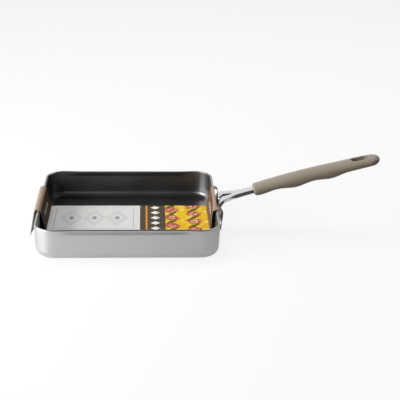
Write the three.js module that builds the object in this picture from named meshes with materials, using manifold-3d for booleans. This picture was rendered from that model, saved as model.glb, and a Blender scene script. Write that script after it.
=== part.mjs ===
// Square frying pan: a pressed aluminium pan with a non-stick lining and a steel base plate, a steel
// handle bracket riveted to one wall, a moulded grip screwed to the bracket's tang, and the folded
// card sleeve that hangs on two opposite rims.
// Millimetres, +Z up. The origin is the middle of the base, on the surface that the pan stands on.
// The handle points along +X.
import * as THREE from "three";
import { mergeVertices } from "three/addons/utils/BufferGeometryUtils.js";
import Module from "manifold-3d";

const wasm = await Module();
wasm.setup();

// Pan
const panSide = 200; // outside, across the rim
const panHeight = 34.5;
const rimCorner = 22; // outside radius of the rim's corners, seen from above
const wallLean = 1.2; // how far a wall leans out from base to rim
const wallThickness = 2.4;
const floorThickness = 2.9;
const baseRadius = 9.5; // outside radius where a wall turns into the base
const rimRadius = 1.15; // rounding of the rim's two edges
const liningThickness = 0.3;
const basePlateSide = 150;
const basePlateThickness = 0.8;
const seatGap = 0.1; // between faces that lie on each other inside the pan

// Bracket, a strap that lies on the wall, bends outwards and ends in a tang inside the grip
const strapThickness = 3.6;
const strapWidth = 18; // at the grip
const footWidth = 46; // of the foot on the wall
const footCorner = 7; // radius of the foot's lower corners
const footMargin = 4; // of foot below the rivet heads
const flareLength = 42; // over which the foot's width narrows to the strap's
const wallGap = 0.3; // between the foot and the wall
const bendDrop = 6.9; // from the rim down to the start of the bend
const bendRadius = 9.5; // at the middle of the strap
const handleRise = 15; // degrees above the horizontal
const armLength = 34.5; // straight, from the bend to the grip
const socketDepth = 6; // of the strap's full width inside the grip
const tangWidth = 10;
const tangLength = 60; // from the grip's neck

// Rivets
const rivetEdge = 9; // from a rivet's middle to the foot's side
const rivetShankRadius = 2.5;
const rivetHeadRadius = 5.2;
const rivetHeadHeight = 2.2;
const rivetAboveRadius = 1.4; // of flat wall between the rivet heads and the rounded bottom edge
const boreClearance = 0.3; // round a shank in its hole, and under a head

// Grip, in the handle's own frame: along the handle, across it, and up
const gripLength = 148;
const neckWidth = 22;
const bellyWidth = 25.5;
const tailWidth = 27;
const bellyAt = 46; // from the neck
const neckCrown = 6.4; // top of the grip above the strap's middle, at the neck
const bellyCrown = 8.2;
const tailCrown = 5.9;
const neckDepth = 7.2; // bottom of the grip below the strap's middle, at a finger ridge
const bellyDepth = 8.6;
const waveDepth = 2.8; // of the finger hollows
const wavePitch = 41.7; // from one finger ridge to the next
const firstRidge = 6.5; // from the neck
const waveCount = 2.5; // ridges to the tail, where the underside runs straight
const neckRadius = 3; // rounding of the neck's edge
const tipPlanRound = 11.5; // length of the rounded tip, seen from above
const tipSideRound = 6; // length of the rounded tip, seen from the side
const hangHoleLength = 20;
const hangHoleWidth = 12;
const hangHoleFromTip = 22.2; // to the middle of the hole
const tangClearance = 0.3;

// Screw that holds the grip on the tang, from below
const screwShankRadius = 2;
const screwHeadRadius = 4;
const screwHeadHeight = 2;
const screwRecess = 0.6; // of the head below the grip's surface
const screwTip = 1.2; // past the tang
const screwSlotLength = 5.2; // of the cross recess
const screwSlotWidth = 1.2;
const screwSlotDepth = 1.1;

// Card sleeve
const cardThickness = 0.5;
const sleeveWidth = 80;
const rimClearance = 0.35; // beside the wall, inside and outside the arch
const rimSeat = 0.3; // between the arch and the rim that it hangs on
const sleeveDrop = 23.7; // from the rim to the middle panel
const farInset = 5.6; // lean of the panel inside the far wall, at its foot
const handleInset = 5.3; // lean of the panel inside the handle's wall, at its foot
const foldRadius = 1.2;
const farFlapLength = 27.5;
const farFlapFlare = 5.2; // how far the far flap stands out at its foot
const handleFlapLength = 21.5;
const handleFlapBow = 2.6; // how far the handle's flap bows outwards
const slotMargin = 7; // beside the foot, in the slot that lets the handle through

// Fineness of the facets
const cornerSteps = 8; // in a quarter turn of the pan's plan
const filletSteps = 6;
const rimSteps = 3;
const bendSteps = 8;
const roundSides = 24;
const gripSides = 28;
const gripRings = 44;
const headSteps = 5;

// Derived places
const panHalf = panSide / 2;
const wallTilt = Math.atan(wallLean / panHeight);
const liningOuter = wallThickness + seatGap; // depth from the wall's outer face
const liningInner = liningOuter + liningThickness;
const liningFloor = floorThickness + seatGap + liningThickness;
const innerRadius = baseRadius - wallThickness;
const rivetHeight = floorThickness + innerRadius + rivetAboveRadius + rivetHeadRadius;
const rivetSpacing = footWidth - 2 * rivetEdge;
const handleAngle = THREE.MathUtils.degToRad(handleRise);
const screwAt = firstRidge + wavePitch / 2;
const hangHoleAt = gripLength - hangHoleFromTip;

// Solids from geometry and back

// A closed geometry as a solid: corners merged, and the collapsed triangles at an axis dropped.
function solid(geometry) {
  const bare = geometry.clone();
  bare.deleteAttribute("normal");
  bare.deleteAttribute("uv");
  const merged = mergeVertices(bare, 1e-4);
  const corners = merged.index.array;
  const kept = [];
  for (let i = 0; i < corners.length; i += 3) {
    const [a, b, c] = [corners[i], corners[i + 1], corners[i + 2]];
    if (a !== b && b !== c && c !== a) kept.push(a, b, c);
  }
  const vertProperties = new Float32Array(merged.getAttribute("position").array);
  return new wasm.Manifold(new wasm.Mesh({ numProp: 3, vertProperties, triVerts: new Uint32Array(kept) }));
}

function geometryOf(body) {
  const mesh = body.getMesh();
  const geometry = new THREE.BufferGeometry();
  geometry.setAttribute("position", new THREE.BufferAttribute(mesh.vertProperties, 3));
  geometry.setIndex(new THREE.BufferAttribute(mesh.triVerts, 1));
  geometry.computeVertexNormals();
  return geometry;
}

function cut(body, ...tools) {
  return tools.reduce((left, tool) => left.subtract(tool), body);
}

function box(width, depth, height, x, y, z) {
  return new THREE.BoxGeometry(width, depth, height).translate(x, y, z);
}

// A cylinder along Z, with its middle at the origin.
function rod(radius, length) {
  return new THREE.CylinderGeometry(radius, radius, length, roundSides).rotateX(Math.PI / 2);
}

// A shape drawn in X and Z, made thick along Y, with its middle at y = 0.
function across(shape, width) {
  const geometry = new THREE.ExtrudeGeometry(shape, { depth: width, bevelEnabled: false });
  return geometry.rotateX(Math.PI / 2).translate(0, width / 2, 0);
}

// A shape drawn in X and Y, made thick along Z from low to high.
function upright(shape, low, high) {
  const geometry = new THREE.ExtrudeGeometry(shape, { depth: high - low, bevelEnabled: false });
  return geometry.translate(0, 0, low);
}

// The outline of a sheet of the given thickness that follows a line of points.
function sheetShape(points, thickness) {
  const left = [];
  const right = [];
  points.forEach((point, i) => {
    const before = points[Math.max(i - 1, 0)];
    const after = points[Math.min(i + 1, points.length - 1)];
    const inward = point.clone().sub(before).normalize();
    const outward = after.clone().sub(point).normalize();
    const along = inward.add(outward).normalize();
    const turn = i > 0 && i < points.length - 1 ? along.dot(outward) : 1;
    const aside = new THREE.Vector2(-along.y, along.x).multiplyScalar(thickness / 2 / turn);
    left.push(point.clone().add(aside));
    right.unshift(point.clone().sub(aside));
  });
  return new THREE.Shape([...left, ...right].reverse());
}

function arcPoints(centre, radius, from, to, steps) {
  return Array.from({ length: steps + 1 }, (_, i) => {
    const angle = from + ((to - from) * i) / steps;
    return new THREE.Vector2(centre.x + radius * Math.cos(angle), centre.y + radius * Math.sin(angle));
  });
}

// Pan

// A rounded square whose sides lie at the given distance from the axis. Its corners stay concentric
// with the rim's, down to a small radius under the middle of the base.
function squareRing(distance) {
  const leastCorner = 0.1;
  const radius = Math.max(rimCorner - (panHalf - distance), distance * leastCorner);
  const points = [];
  for (let corner = 0; corner < 4; corner++) {
    const diagonal = (corner + 0.5) * (Math.PI / 2);
    const reach = (distance - radius) * Math.SQRT2;
    const centre = new THREE.Vector2(reach * Math.cos(diagonal), reach * Math.sin(diagonal));
    const start = corner * (Math.PI / 2);
    points.push(...arcPoints(centre, radius, start, start + Math.PI / 2, cornerSteps));
  }
  return points;
}

// Turns a profile of (distance from the axis, height) into a body that is a rounded square in plan.
// The profile runs up the outside and down the inside.
function squareLathe(profile) {
  const rings = profile.map((point) => squareRing(point.x));
  const columns = rings[0].length;
  const geometry = new THREE.LatheGeometry(profile, columns);
  const position = geometry.getAttribute("position");
  for (let column = 0; column <= columns; column++) {
    profile.forEach((point, row) => {
      const corner = rings[row][column % columns];
      position.setXYZ(column * profile.length + row, corner.x, corner.y, point.y);
    });
  }
  return geometry;
}

// The distance from the axis of the surface that lies inside the wall's outer face by the given depth.
function wallAt(height, depth) {
  return panHalf - (panHeight - height) * Math.tan(wallTilt) - depth / Math.cos(wallTilt);
}

// The rounded edge, of the given radius, between a level face and the leaning surface at that depth.
function bottomEdge(level, depth, radius) {
  const centreHeight = level + radius;
  const centre = new THREE.Vector2(wallAt(centreHeight, depth + radius), centreHeight);
  return arcPoints(centre, radius, -Math.PI / 2, -wallTilt, filletSteps);
}

// The rim, from the outer face over the top to the inner face.
function rimEdge() {
  const height = panHeight - rimRadius;
  const outer = new THREE.Vector2(wallAt(height, rimRadius), height);
  const inner = new THREE.Vector2(wallAt(height, wallThickness - rimRadius), height);
  return [
    ...arcPoints(outer, rimRadius, -wallTilt, Math.PI / 2, rimSteps),
    ...arcPoints(inner, rimRadius, Math.PI / 2, Math.PI - wallTilt, rimSteps),
  ];
}

function panBody() {
  const recessHalf = basePlateSide / 2 + seatGap;
  const recessDepth = basePlateThickness + seatGap;
  return squareLathe([
    new THREE.Vector2(0, recessDepth),
    new THREE.Vector2(recessHalf, recessDepth),
    new THREE.Vector2(recessHalf, 0),
    ...bottomEdge(0, 0, baseRadius),
    ...rimEdge(),
    ...bottomEdge(floorThickness, wallThickness, innerRadius).reverse(),
    new THREE.Vector2(0, floorThickness),
  ]);
}

function nonstickLining() {
  const top = panHeight - rimRadius;
  return squareLathe([
    new THREE.Vector2(0, floorThickness + seatGap),
    ...bottomEdge(floorThickness + seatGap, liningOuter, innerRadius - seatGap),
    new THREE.Vector2(wallAt(top, liningOuter), top),
    new THREE.Vector2(wallAt(top, liningInner), top),
    ...bottomEdge(liningFloor, liningInner, innerRadius - seatGap - liningThickness).reverse(),
    new THREE.Vector2(0, liningFloor),
  ]);
}

function basePlate() {
  const half = basePlateSide / 2;
  return squareLathe([
    new THREE.Vector2(0, 0),
    new THREE.Vector2(half, 0),
    new THREE.Vector2(half, basePlateThickness),
    new THREE.Vector2(0, basePlateThickness),
  ]);
}

// Handle: the strap's middle line in X and Z, and the frames that hang on it

// The frame of a rivet: its origin on the wall's outer face, its X axis straight out of the wall.
function rivetFrame(y) {
  const frame = new THREE.Object3D();
  frame.position.set(wallAt(rivetHeight, 0), y, rivetHeight);
  frame.rotation.y = wallTilt;
  frame.updateMatrix();
  return frame;
}

const strapDepth = wallGap + strapThickness / 2; // of the strap's middle outside the wall
const bendHeight = panHeight - bendDrop;
const bendCentre = new THREE.Vector2(wallAt(bendHeight, -strapDepth - bendRadius), bendHeight);
const bend = arcPoints(bendCentre, bendRadius, Math.PI - wallTilt, Math.PI / 2 + handleAngle, bendSteps);
const armDirection = new THREE.Vector2(Math.cos(handleAngle), Math.sin(handleAngle));
const neck = bend.at(-1).clone().addScaledVector(armDirection, armLength);

// The handle's frame: its origin where the strap enters the grip, its X axis along the handle.
const handleFrame = new THREE.Object3D();
handleFrame.position.set(neck.x, 0, neck.y);
handleFrame.rotation.y = -handleAngle;
handleFrame.updateMatrix();

// How far along the handle a point of the strap's middle line lies, from the grip's neck.
function alongHandle(point) {
  return point.clone().sub(neck).dot(armDirection);
}

// The strap seen square on to the handle: the foot's full width, flared down to the strap, then the tang.
function strapPlan(foot) {
  const halves = { foot: footWidth / 2, strap: strapWidth / 2, tang: tangWidth / 2 };
  const start = alongHandle(foot) - strapThickness;
  const flareFrom = alongHandle(bend[0]);
  const flareTo = flareFrom + flareLength;
  const waist = flareFrom + flareLength / 4;
  const end = tangLength + strapThickness;
  const shape = new THREE.Shape();
  shape.moveTo(start, -halves.foot);
  shape.lineTo(flareFrom, -halves.foot);
  shape.quadraticCurveTo(waist, -halves.strap, flareTo, -halves.strap);
  shape.lineTo(socketDepth, -halves.strap);
  shape.lineTo(socketDepth, -halves.tang);
  shape.lineTo(end, -halves.tang);
  shape.lineTo(end, halves.tang);
  shape.lineTo(socketDepth, halves.tang);
  shape.lineTo(socketDepth, halves.strap);
  shape.lineTo(flareTo, halves.strap);
  shape.quadraticCurveTo(waist, halves.strap, flareFrom, halves.foot);
  shape.lineTo(start, halves.foot);
  return shape;
}

// The foot seen along the handle: a plate with rounded lower corners, open upwards.
function footFront(low, high) {
  const half = footWidth / 2;
  const shape = new THREE.Shape();
  shape.moveTo(-half, high);
  shape.lineTo(-half, low + footCorner);
  shape.absarc(-half + footCorner, low + footCorner, footCorner, Math.PI, 1.5 * Math.PI);
  shape.absarc(half - footCorner, low + footCorner, footCorner, 1.5 * Math.PI, 2 * Math.PI);
  shape.lineTo(half, high);
  return shape;
}

function handleBracket() {
  const footLow = rivetHeight - rivetHeadRadius - footMargin;
  const foot = new THREE.Vector2(wallAt(footLow, -strapDepth), footLow);
  const tangEnd = neck.clone().addScaledVector(armDirection, tangLength);
  const side = across(sheetShape([foot, ...bend, tangEnd], strapThickness), footWidth);
  const high = tangEnd.y + strapThickness;
  const reach = tangEnd.x + strapThickness;
  const plan = upright(strapPlan(foot), -high, high).applyMatrix4(handleFrame.matrix);
  // The front outline is drawn in Y and Z, and reaches along X past the whole strap.
  const front = upright(footFront(footLow - strapThickness, high), 0, reach);
  front.rotateX(Math.PI / 2).rotateZ(Math.PI / 2);
  const blank = solid(side).intersect(solid(plan)).intersect(solid(front));
  const bores = rivetPlaces().map((y) => solid(rivetBore(y)));
  return geometryOf(cut(blank, ...bores, solid(screwBore())));
}

// Rivets

function rivetPlaces() {
  return [-rivetSpacing / 2, rivetSpacing / 2];
}

function rivetBore(y) {
  const length = 4 * (strapThickness + liningInner);
  const bore = rod(rivetShankRadius + boreClearance, length).rotateY(Math.PI / 2);
  return bore.applyMatrix4(rivetFrame(y).matrix);
}

// A rivet along X, with a domed head inside the pan and another on the foot.
function rivet() {
  const outer = wallGap + strapThickness + boreClearance;
  const inner = -liningInner - boreClearance;
  const dome = (base, way) =>
    arcPoints(new THREE.Vector2(0, 0), 1, 0, Math.PI / 2, headSteps).map(
      (point) => new THREE.Vector2(rivetHeadRadius * point.x, base + way * rivetHeadHeight * point.y),
    );
  const profile = [
    ...dome(inner, -1).reverse(),
    new THREE.Vector2(rivetShankRadius, inner),
    new THREE.Vector2(rivetShankRadius, outer),
    ...dome(outer, 1),
  ];
  return new THREE.LatheGeometry(profile, roundSides).rotateZ(-Math.PI / 2);
}

// Grip, in the handle's frame

// A smooth curve of one size along the grip, through the given stations.
function along(places, sizes) {
  const curve = new THREE.CubicInterpolant(Float32Array.from(places), Float32Array.from(sizes), 1);
  return (place) => curve.evaluate(place)[0];
}

const stations = [0, bellyAt, hangHoleAt, gripLength];
const gripHalfWidth = along(stations, [neckWidth / 2, bellyWidth / 2, tailWidth / 2, tailWidth / 2]);
const gripCrown = along(stations, [neckCrown, bellyCrown, tailCrown, tailCrown - neckRadius / 2]);
const ridgeDepth = along(stations, [neckDepth, bellyDepth, bellyDepth, bellyDepth]);

// The underside's depth: ridges between the fingers, then a straight run to the tip.
function gripDepth(place) {
  const cycles = Math.min((place - firstRidge) / wavePitch, waveCount);
  return ridgeDepth(place) - (waveDepth * (1 - Math.cos(2 * Math.PI * cycles))) / 2;
}

// What the rounded edge of the neck takes off each side.
function neckRounding(place) {
  const left = Math.max(0, 1 - place / neckRadius);
  return neckRadius * (1 - Math.sqrt(1 - left * left));
}

// What is left of a size in the rounded tip, as a share.
function tipRounding(place, length) {
  const into = Math.max(0, (place - gripLength + length) / length);
  return Math.sqrt(Math.max(0, 1 - into * into));
}

function gripForm() {
  const geometry = new THREE.CylinderGeometry(1, 1, 1, gripSides, gripRings);
  const position = geometry.getAttribute("position");
  for (let i = 0; i < position.count; i++) {
    const share = (1 - Math.cos(Math.PI * (position.getY(i) + 0.5))) / 2;
    const place = gripLength * share;
    const [up, side] = [position.getX(i), position.getZ(i)];
    const half = (gripHalfWidth(place) - neckRounding(place)) * tipRounding(place, tipPlanRound);
    const reach = (up > 0 ? gripCrown(place) : gripDepth(place)) - neckRounding(place);
    position.setXYZ(i, place, half * side, reach * tipRounding(place, tipSideRound) * up);
  }
  return geometry;
}

function hangHole() {
  const radius = hangHoleWidth / 2;
  const reach = hangHoleLength / 2 - radius;
  const shape = new THREE.Shape();
  shape.absarc(hangHoleAt - reach, 0, radius, Math.PI / 2, 1.5 * Math.PI);
  shape.absarc(hangHoleAt + reach, 0, radius, -Math.PI / 2, Math.PI / 2);
  return upright(shape, -2 * bellyDepth, 2 * bellyCrown);
}

// The socket for the strap's full width, then for the tang.
function tangSocket() {
  const height = strapThickness + 2 * tangClearance;
  const slot = (from, to, width) =>
    solid(box(to - from, width + 2 * tangClearance, height, (from + to) / 2, 0, 0));
  const mouth = slot(-neckRadius, socketDepth + tangClearance, strapWidth);
  return mouth.add(slot(0, tangLength + tangClearance, tangWidth));
}

const screwHeadLow = screwRecess - gripDepth(screwAt);
const screwSeat = screwHeadLow + screwHeadHeight;
const screwTop = strapThickness / 2 + screwTip;

function screwBore() {
  const bore = rod(screwShankRadius + boreClearance, 4 * strapThickness).translate(screwAt, 0, 0);
  return bore.applyMatrix4(handleFrame.matrix);
}

// The hole for the screw, with a wider recess for its head.
function screwHole() {
  const low = -2 * bellyDepth;
  const shankLength = screwTop + boreClearance - low;
  const headLength = screwSeat + boreClearance - low;
  const shank = rod(screwShankRadius + boreClearance, shankLength);
  const head = rod(screwHeadRadius + boreClearance, headLength);
  return [
    solid(shank.translate(screwAt, 0, low + shankLength / 2)),
    solid(head.translate(screwAt, 0, low + headLength / 2)),
  ];
}

function grip() {
  return geometryOf(cut(solid(gripForm()), solid(hangHole()), tangSocket(), ...screwHole()));
}

function gripScrew() {
  const profile = [
    new THREE.Vector2(0, screwHeadLow),
    new THREE.Vector2(screwHeadRadius, screwHeadLow),
    new THREE.Vector2(screwHeadRadius, screwSeat),
    new THREE.Vector2(screwShankRadius, screwSeat),
    new THREE.Vector2(screwShankRadius, screwTop),
    new THREE.Vector2(0, screwTop),
  ];
  const form = solid(new THREE.LatheGeometry(profile, roundSides).rotateX(Math.PI / 2));
  const slots = [
    box(screwSlotLength, screwSlotWidth, 2 * screwSlotDepth, 0, 0, screwHeadLow),
    box(screwSlotWidth, screwSlotLength, 2 * screwSlotDepth, 0, 0, screwHeadLow),
  ];
  return geometryOf(cut(form, ...slots.map(solid))).translate(screwAt, 0, 0);
}

// Card sleeve

const archRadius = wallThickness + seatGap + liningThickness + rimClearance + cardThickness / 2;

// The arch over a rim is a half circle round the rim's outer edge. It hangs on the rim's inner edge.
function archHeight() {
  const inside = archRadius - cardThickness / 2 - rimRadius - rimSeat;
  const aside = wallThickness - rimRadius;
  return panHeight - rimRadius - Math.sqrt(inside * inside - aside * aside);
}

// The sleeve's middle line in X and Z, from the foot of the far flap to the foot of the handle's flap.
function sleeveLine() {
  const arch = archHeight();
  const flapFoot = arch - handleFlapLength;
  const panel = panHeight - sleeveDrop;
  const inside = panHalf - archRadius;
  const outside = panHalf + archRadius;
  const farFold = new THREE.Vector2(-inside + farInset, panel);
  const handleFold = new THREE.Vector2(inside - handleInset, panel);
  const line = new THREE.Path();
  line.moveTo(-outside - farFlapFlare, arch - farFlapLength);
  line.lineTo(-outside, arch);
  line.absarc(-panHalf, arch, archRadius, Math.PI, 0, true);
  line.lineTo(farFold.x - foldRadius / 2, panel + 2 * foldRadius);
  line.quadraticCurveTo(farFold.x, panel, farFold.x + 2 * foldRadius, panel);
  line.lineTo(handleFold.x - 2 * foldRadius, panel);
  line.quadraticCurveTo(handleFold.x, panel, handleFold.x + foldRadius / 2, panel + 2 * foldRadius);
  line.lineTo(inside, arch);
  line.absarc(panHalf, arch, archRadius, Math.PI, 0, true);
  line.quadraticCurveTo(outside + handleFlapBow, arch - handleFlapLength / 3, outside, flapFoot);
  return line.getPoints(bendSteps);
}

// The slot in the handle's flap: the whole of the flap between its two legs, from the arch's crown down.
function handleSlot() {
  const from = panHalf - archRadius / 2;
  const to = panHalf + 2 * (archRadius + handleFlapBow);
  const low = archHeight() - handleFlapLength - foldRadius;
  const high = panHeight + 2 * archRadius;
  const width = footWidth + 2 * slotMargin;
  return box(to - from, width, high - low, (from + to) / 2, 0, (low + high) / 2);
}

function cardSleeve() {
  const points = sleeveLine().filter((point, i, all) => i === 0 || point.distanceTo(all[i - 1]) > 1e-3);
  const band = across(sheetShape(points, cardThickness), sleeveWidth);
  return geometryOf(cut(solid(band), solid(handleSlot())));
}

// Finishes
const aluminium = new THREE.MeshStandardMaterial({ color: 0xc4c4c4, metalness: 1, roughness: 0.42 });
const nonstick = new THREE.MeshStandardMaterial({ color: 0x2a2a2b, metalness: 0, roughness: 0.45 });
const plateSteel = new THREE.MeshStandardMaterial({ color: 0xa9a9a6, metalness: 1, roughness: 0.5 });
const polishedSteel = new THREE.MeshStandardMaterial({ color: 0xdedede, metalness: 1, roughness: 0.12 });
const rivetMetal = new THREE.MeshStandardMaterial({ color: 0xc9c9c7, metalness: 1, roughness: 0.3 });
const taupe = new THREE.MeshStandardMaterial({ color: 0x958a7c, metalness: 0, roughness: 0.6 });
const card = new THREE.MeshStandardMaterial({ color: 0xc3a58a, metalness: 0, roughness: 0.85 });

// Assembly
const squareFryingPan = new THREE.Group();

function addPiece(name, geometry, material, frame) {
  const mesh = new THREE.Mesh(geometry, material);
  mesh.name = name;
  if (frame) {
    mesh.position.copy(frame.position);
    mesh.rotation.copy(frame.rotation);
  }
  squareFryingPan.add(mesh);
}

const wallBores = rivetPlaces().map((y) => solid(rivetBore(y)));
addPiece("pan_body", geometryOf(cut(solid(panBody()), ...wallBores)), aluminium);
addPiece("nonstick_lining", geometryOf(cut(solid(nonstickLining()), ...wallBores)), nonstick);
addPiece("base_plate", geometryOf(solid(basePlate())), plateSteel);
addPiece("handle_bracket", handleBracket(), polishedSteel);
rivetPlaces().forEach((y, i) => {
  addPiece(["rivet_front", "rivet_back"][i], geometryOf(solid(rivet())), rivetMetal, rivetFrame(y));
});
addPiece("grip", grip(), taupe, handleFrame);
addPiece("grip_screw", gripScrew(), polishedSteel, handleFrame);
addPiece("card_sleeve", cardSleeve(), card);

export default squareFryingPan;
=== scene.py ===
"""Square frying pan: a pressed pan with a lining, a riveted bracket, a moulded grip and a card sleeve.

Metres, +Z up. The origin is the middle of the base, and the handle points along +X.
"""

import logging
import math
from dataclasses import dataclass
from enum import Enum
from typing import Callable, Sequence, Union

import bmesh
import bpy
from bmesh.types import BMEdge, BMesh, BMVert
from bpy.types import Material, Object
from mathutils import Matrix, Vector


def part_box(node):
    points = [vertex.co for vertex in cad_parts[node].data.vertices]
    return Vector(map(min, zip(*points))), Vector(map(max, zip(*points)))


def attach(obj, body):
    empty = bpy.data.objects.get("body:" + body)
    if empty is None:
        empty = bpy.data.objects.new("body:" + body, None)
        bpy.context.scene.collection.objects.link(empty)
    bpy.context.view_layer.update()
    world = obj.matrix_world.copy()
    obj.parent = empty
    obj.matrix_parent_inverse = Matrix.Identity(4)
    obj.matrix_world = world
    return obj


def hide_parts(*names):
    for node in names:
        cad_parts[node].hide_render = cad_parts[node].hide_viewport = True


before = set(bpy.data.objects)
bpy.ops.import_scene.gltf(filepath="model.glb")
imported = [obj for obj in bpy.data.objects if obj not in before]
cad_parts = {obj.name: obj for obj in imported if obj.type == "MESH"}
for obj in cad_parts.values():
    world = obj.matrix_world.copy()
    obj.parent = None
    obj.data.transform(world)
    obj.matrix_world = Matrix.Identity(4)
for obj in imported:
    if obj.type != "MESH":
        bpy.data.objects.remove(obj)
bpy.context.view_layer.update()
MM = 0.001
TINY = 1e-6
LOG = logging.getLogger("square_pan")

Socket = bpy.types.NodeSocket
Feed = Union[Socket, float, Sequence[float]]
Profile = list[tuple[float, float]]


class Body(Enum):
    """The bodies that move apart: the pan with its handle, and the sleeve."""

    PAN = "pan"
    SLEEVE = "sleeve"


class Slot(Enum):
    """The record's material slots."""

    ALUMINIUM = "brushed_aluminium"
    COAT = "nonstick_coat"
    BASE = "base_steel"
    STEEL = "polished_steel"
    RIVET = "rivet_aluminium"
    GRIP = "grip_polymer"
    CARD = "printed_card"


class Ink(Enum):
    """Colours of the card and its print, as seen on a screen."""

    KRAFT = "#A69080"
    KRAFT_DEEP = "#998270"
    # Painted shade: the handle panel's tan, darkened for the far panel, which sits in shade.
    TAN = "#69503D"
    TAN_IN_PAINTED_SHADE = "#4C3B30"
    BAND = "#554C3F"
    PALE = "#DEDDDD"
    PALE_WARM = "#DEDCD8"
    LINE = "#9FA1AA"
    WHITE = "#EDEAE4"
    ORANGE = "#E0963F"
    YELLOW = "#F0CE32"
    HONEY = "#E2AE2C"
    CREAM = "#EBDDA6"
    RED = "#A8383C"
    ROSE = "#C9685A"
    LEAF = "#4A5A2C"
    BOARD = "#C9C6C0"
    BOARD_DARK = "#BDB9B1"
    CUT = "#E3DACB"


def linear(colour: str) -> tuple[float, float, float, float]:
    """Turns a colour as seen on a screen into the one that a shader takes.

    Args:
        colour: A hash sign and six hexadecimal digits.

    Returns:
        Red, green, blue and an alpha of one.
    """
    shown = [int(colour[start:start + 2], 16) / 255 for start in (1, 3, 5)]
    red, green, blue = (((c + 0.055) / 1.055) ** 2.4 if c > 0.04045 else c / 12.92 for c in shown)
    return red, green, blue, 1.0


# Shaders


class ShaderBench:
    """Lays out the nodes of one material."""

    def __init__(self, name: str, roughness: float, metallic: float = 0.0, specular: float = 0.5) -> None:
        """Starts a material with the values that are the same all over it.

        Args:
            name: The material's name.
            roughness: Of the surface, where nothing else is linked to it.
            metallic: One for bare metal.
            specular: Level of the mirror-like part on a surface that isn't metal.
        """
        self.material = bpy.data.materials.new(name)
        self.material.use_nodes = True
        self.tree = self.material.node_tree
        self.shader = self.tree.nodes["Principled BSDF"]
        self.shader.inputs["Roughness"].default_value = roughness
        self.shader.inputs["Metallic"].default_value = metallic
        self.shader.inputs["Specular IOR Level"].default_value = specular

    def feed(self, socket: Socket, value: Feed) -> None:
        """Links a socket to another one, or sets its value.

        Args:
            socket: The socket that takes it.
            value: Another socket, or a value.
        """
        if isinstance(value, bpy.types.NodeSocket):
            self.tree.links.new(value, socket)
        else:
            socket.default_value = value

    def paint(self, name: str, value: Feed) -> None:
        """Feeds one of the shader's own sockets."""
        self.feed(self.shader.inputs[name], value)

    def place(self, scale: Sequence[float] = (1, 1, 1), centre: Sequence[float] = (0, 0, 0)) -> Socket:
        """Gives the place on the piece.

        Args:
            scale: What each axis is multiplied by.
            centre: The point that becomes the origin.

        Returns:
            The scaled place, as a vector.
        """
        source = self.tree.nodes.new("ShaderNodeTexCoord")
        mapping = self.tree.nodes.new("ShaderNodeMapping")
        mapping.inputs["Scale"].default_value = scale
        mapping.inputs["Location"].default_value = [-c * s for c, s in zip(centre, scale)]
        self.tree.links.new(source.outputs["Object"], mapping.inputs["Vector"])
        return mapping.outputs[0]

    def split(self, vector: Socket) -> tuple[Socket, Socket, Socket]:
        """Splits a vector into its three parts.

        Args:
            vector: The vector.

        Returns:
            Its X, Y and Z.
        """
        node = self.tree.nodes.new("ShaderNodeSeparateXYZ")
        self.tree.links.new(vector, node.inputs[0])
        return node.outputs[0], node.outputs[1], node.outputs[2]

    def join(self, *parts: Feed) -> Socket:
        """Joins up to three parts into a vector.

        Args:
            parts: Sockets or values, for X, Y and Z in turn.

        Returns:
            The vector.
        """
        node = self.tree.nodes.new("ShaderNodeCombineXYZ")
        for socket, part in zip(node.inputs, parts):
            self.feed(socket, part)
        return node.outputs[0]

    def uv(self, name: str) -> tuple[Socket, Socket]:
        """Gives the two parts of a UV map.

        Args:
            name: The map's name.

        Returns:
            The places along and across the piece.
        """
        node = self.tree.nodes.new("ShaderNodeUVMap")
        node.uv_map = name
        along, across, _ = self.split(node.outputs[0])
        return along, across

    def math(self, operation: str, *values: Feed) -> Socket:
        """Works out one sum.

        Args:
            operation: The Math node's operation.
            values: What it works on.

        Returns:
            The result.
        """
        node = self.tree.nodes.new("ShaderNodeMath")
        node.operation = operation
        for socket, value in zip(node.inputs, values):
            self.feed(socket, value)
        return node.outputs[0]

    def product(self, first: Feed, *others: Feed) -> Socket:
        """Multiplies masks.

        Args:
            first: The first mask.
            others: The rest.

        Returns:
            The product.
        """
        for other in others:
            first = self.math("MULTIPLY", first, other)
        return first

    def below(self, value: Feed, limit: float) -> Socket:
        """One where the value is under the limit."""
        return self.math("LESS_THAN", value, limit)

    def between(self, value: Feed, low: float, high: float) -> Socket:
        """One where the value lies between two limits."""
        return self.product(self.math("GREATER_THAN", value, low), self.below(value, high))

    def repeat(self, value: Feed, pitch: float) -> Socket:
        """The distance to the nearest of a row of marks, with its sign."""
        return self.math("WRAP", value, pitch / 2, -pitch / 2)

    def offset(self, value: Feed, origin: float) -> Socket:
        """The distance from an origin, with its sign."""
        return self.math("SUBTRACT", value, origin)

    def lozenge(self, along: Feed, across: Feed, half: float, half_across: float) -> Socket:
        """One on the outline of a lozenge, less inside it.

        Args:
            along: Place along, from the lozenge's middle.
            across: Place across, from the lozenge's middle.
            half: Half its length.
            half_across: Half its width.

        Returns:
            The value.
        """
        first = self.math("DIVIDE", self.math("ABSOLUTE", along), half)
        second = self.math("DIVIDE", self.math("ABSOLUTE", across), half_across)
        return self.math("ADD", first, second)

    def radius(self, along: Feed, across: Feed) -> Socket:
        """The distance from the origin."""
        squares = self.math("ADD", self.math("POWER", along, 2.0), self.math("POWER", across, 2.0))
        return self.math("SQRT", squares)

    def span(self, value: Feed, low: float, high: float, first: float, last: float) -> Socket:
        """Maps a stretch of values onto another one.

        Args:
            value: The value.
            low: Where the stretch begins.
            high: Where it ends.
            first: What low becomes.
            last: What high becomes.

        Returns:
            The mapped value, held inside the new stretch.
        """
        node = self.tree.nodes.new("ShaderNodeMapRange")
        for socket, part in zip(node.inputs, (value, low, high, first, last)):
            self.feed(socket, part)
        return node.outputs[0]

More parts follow.
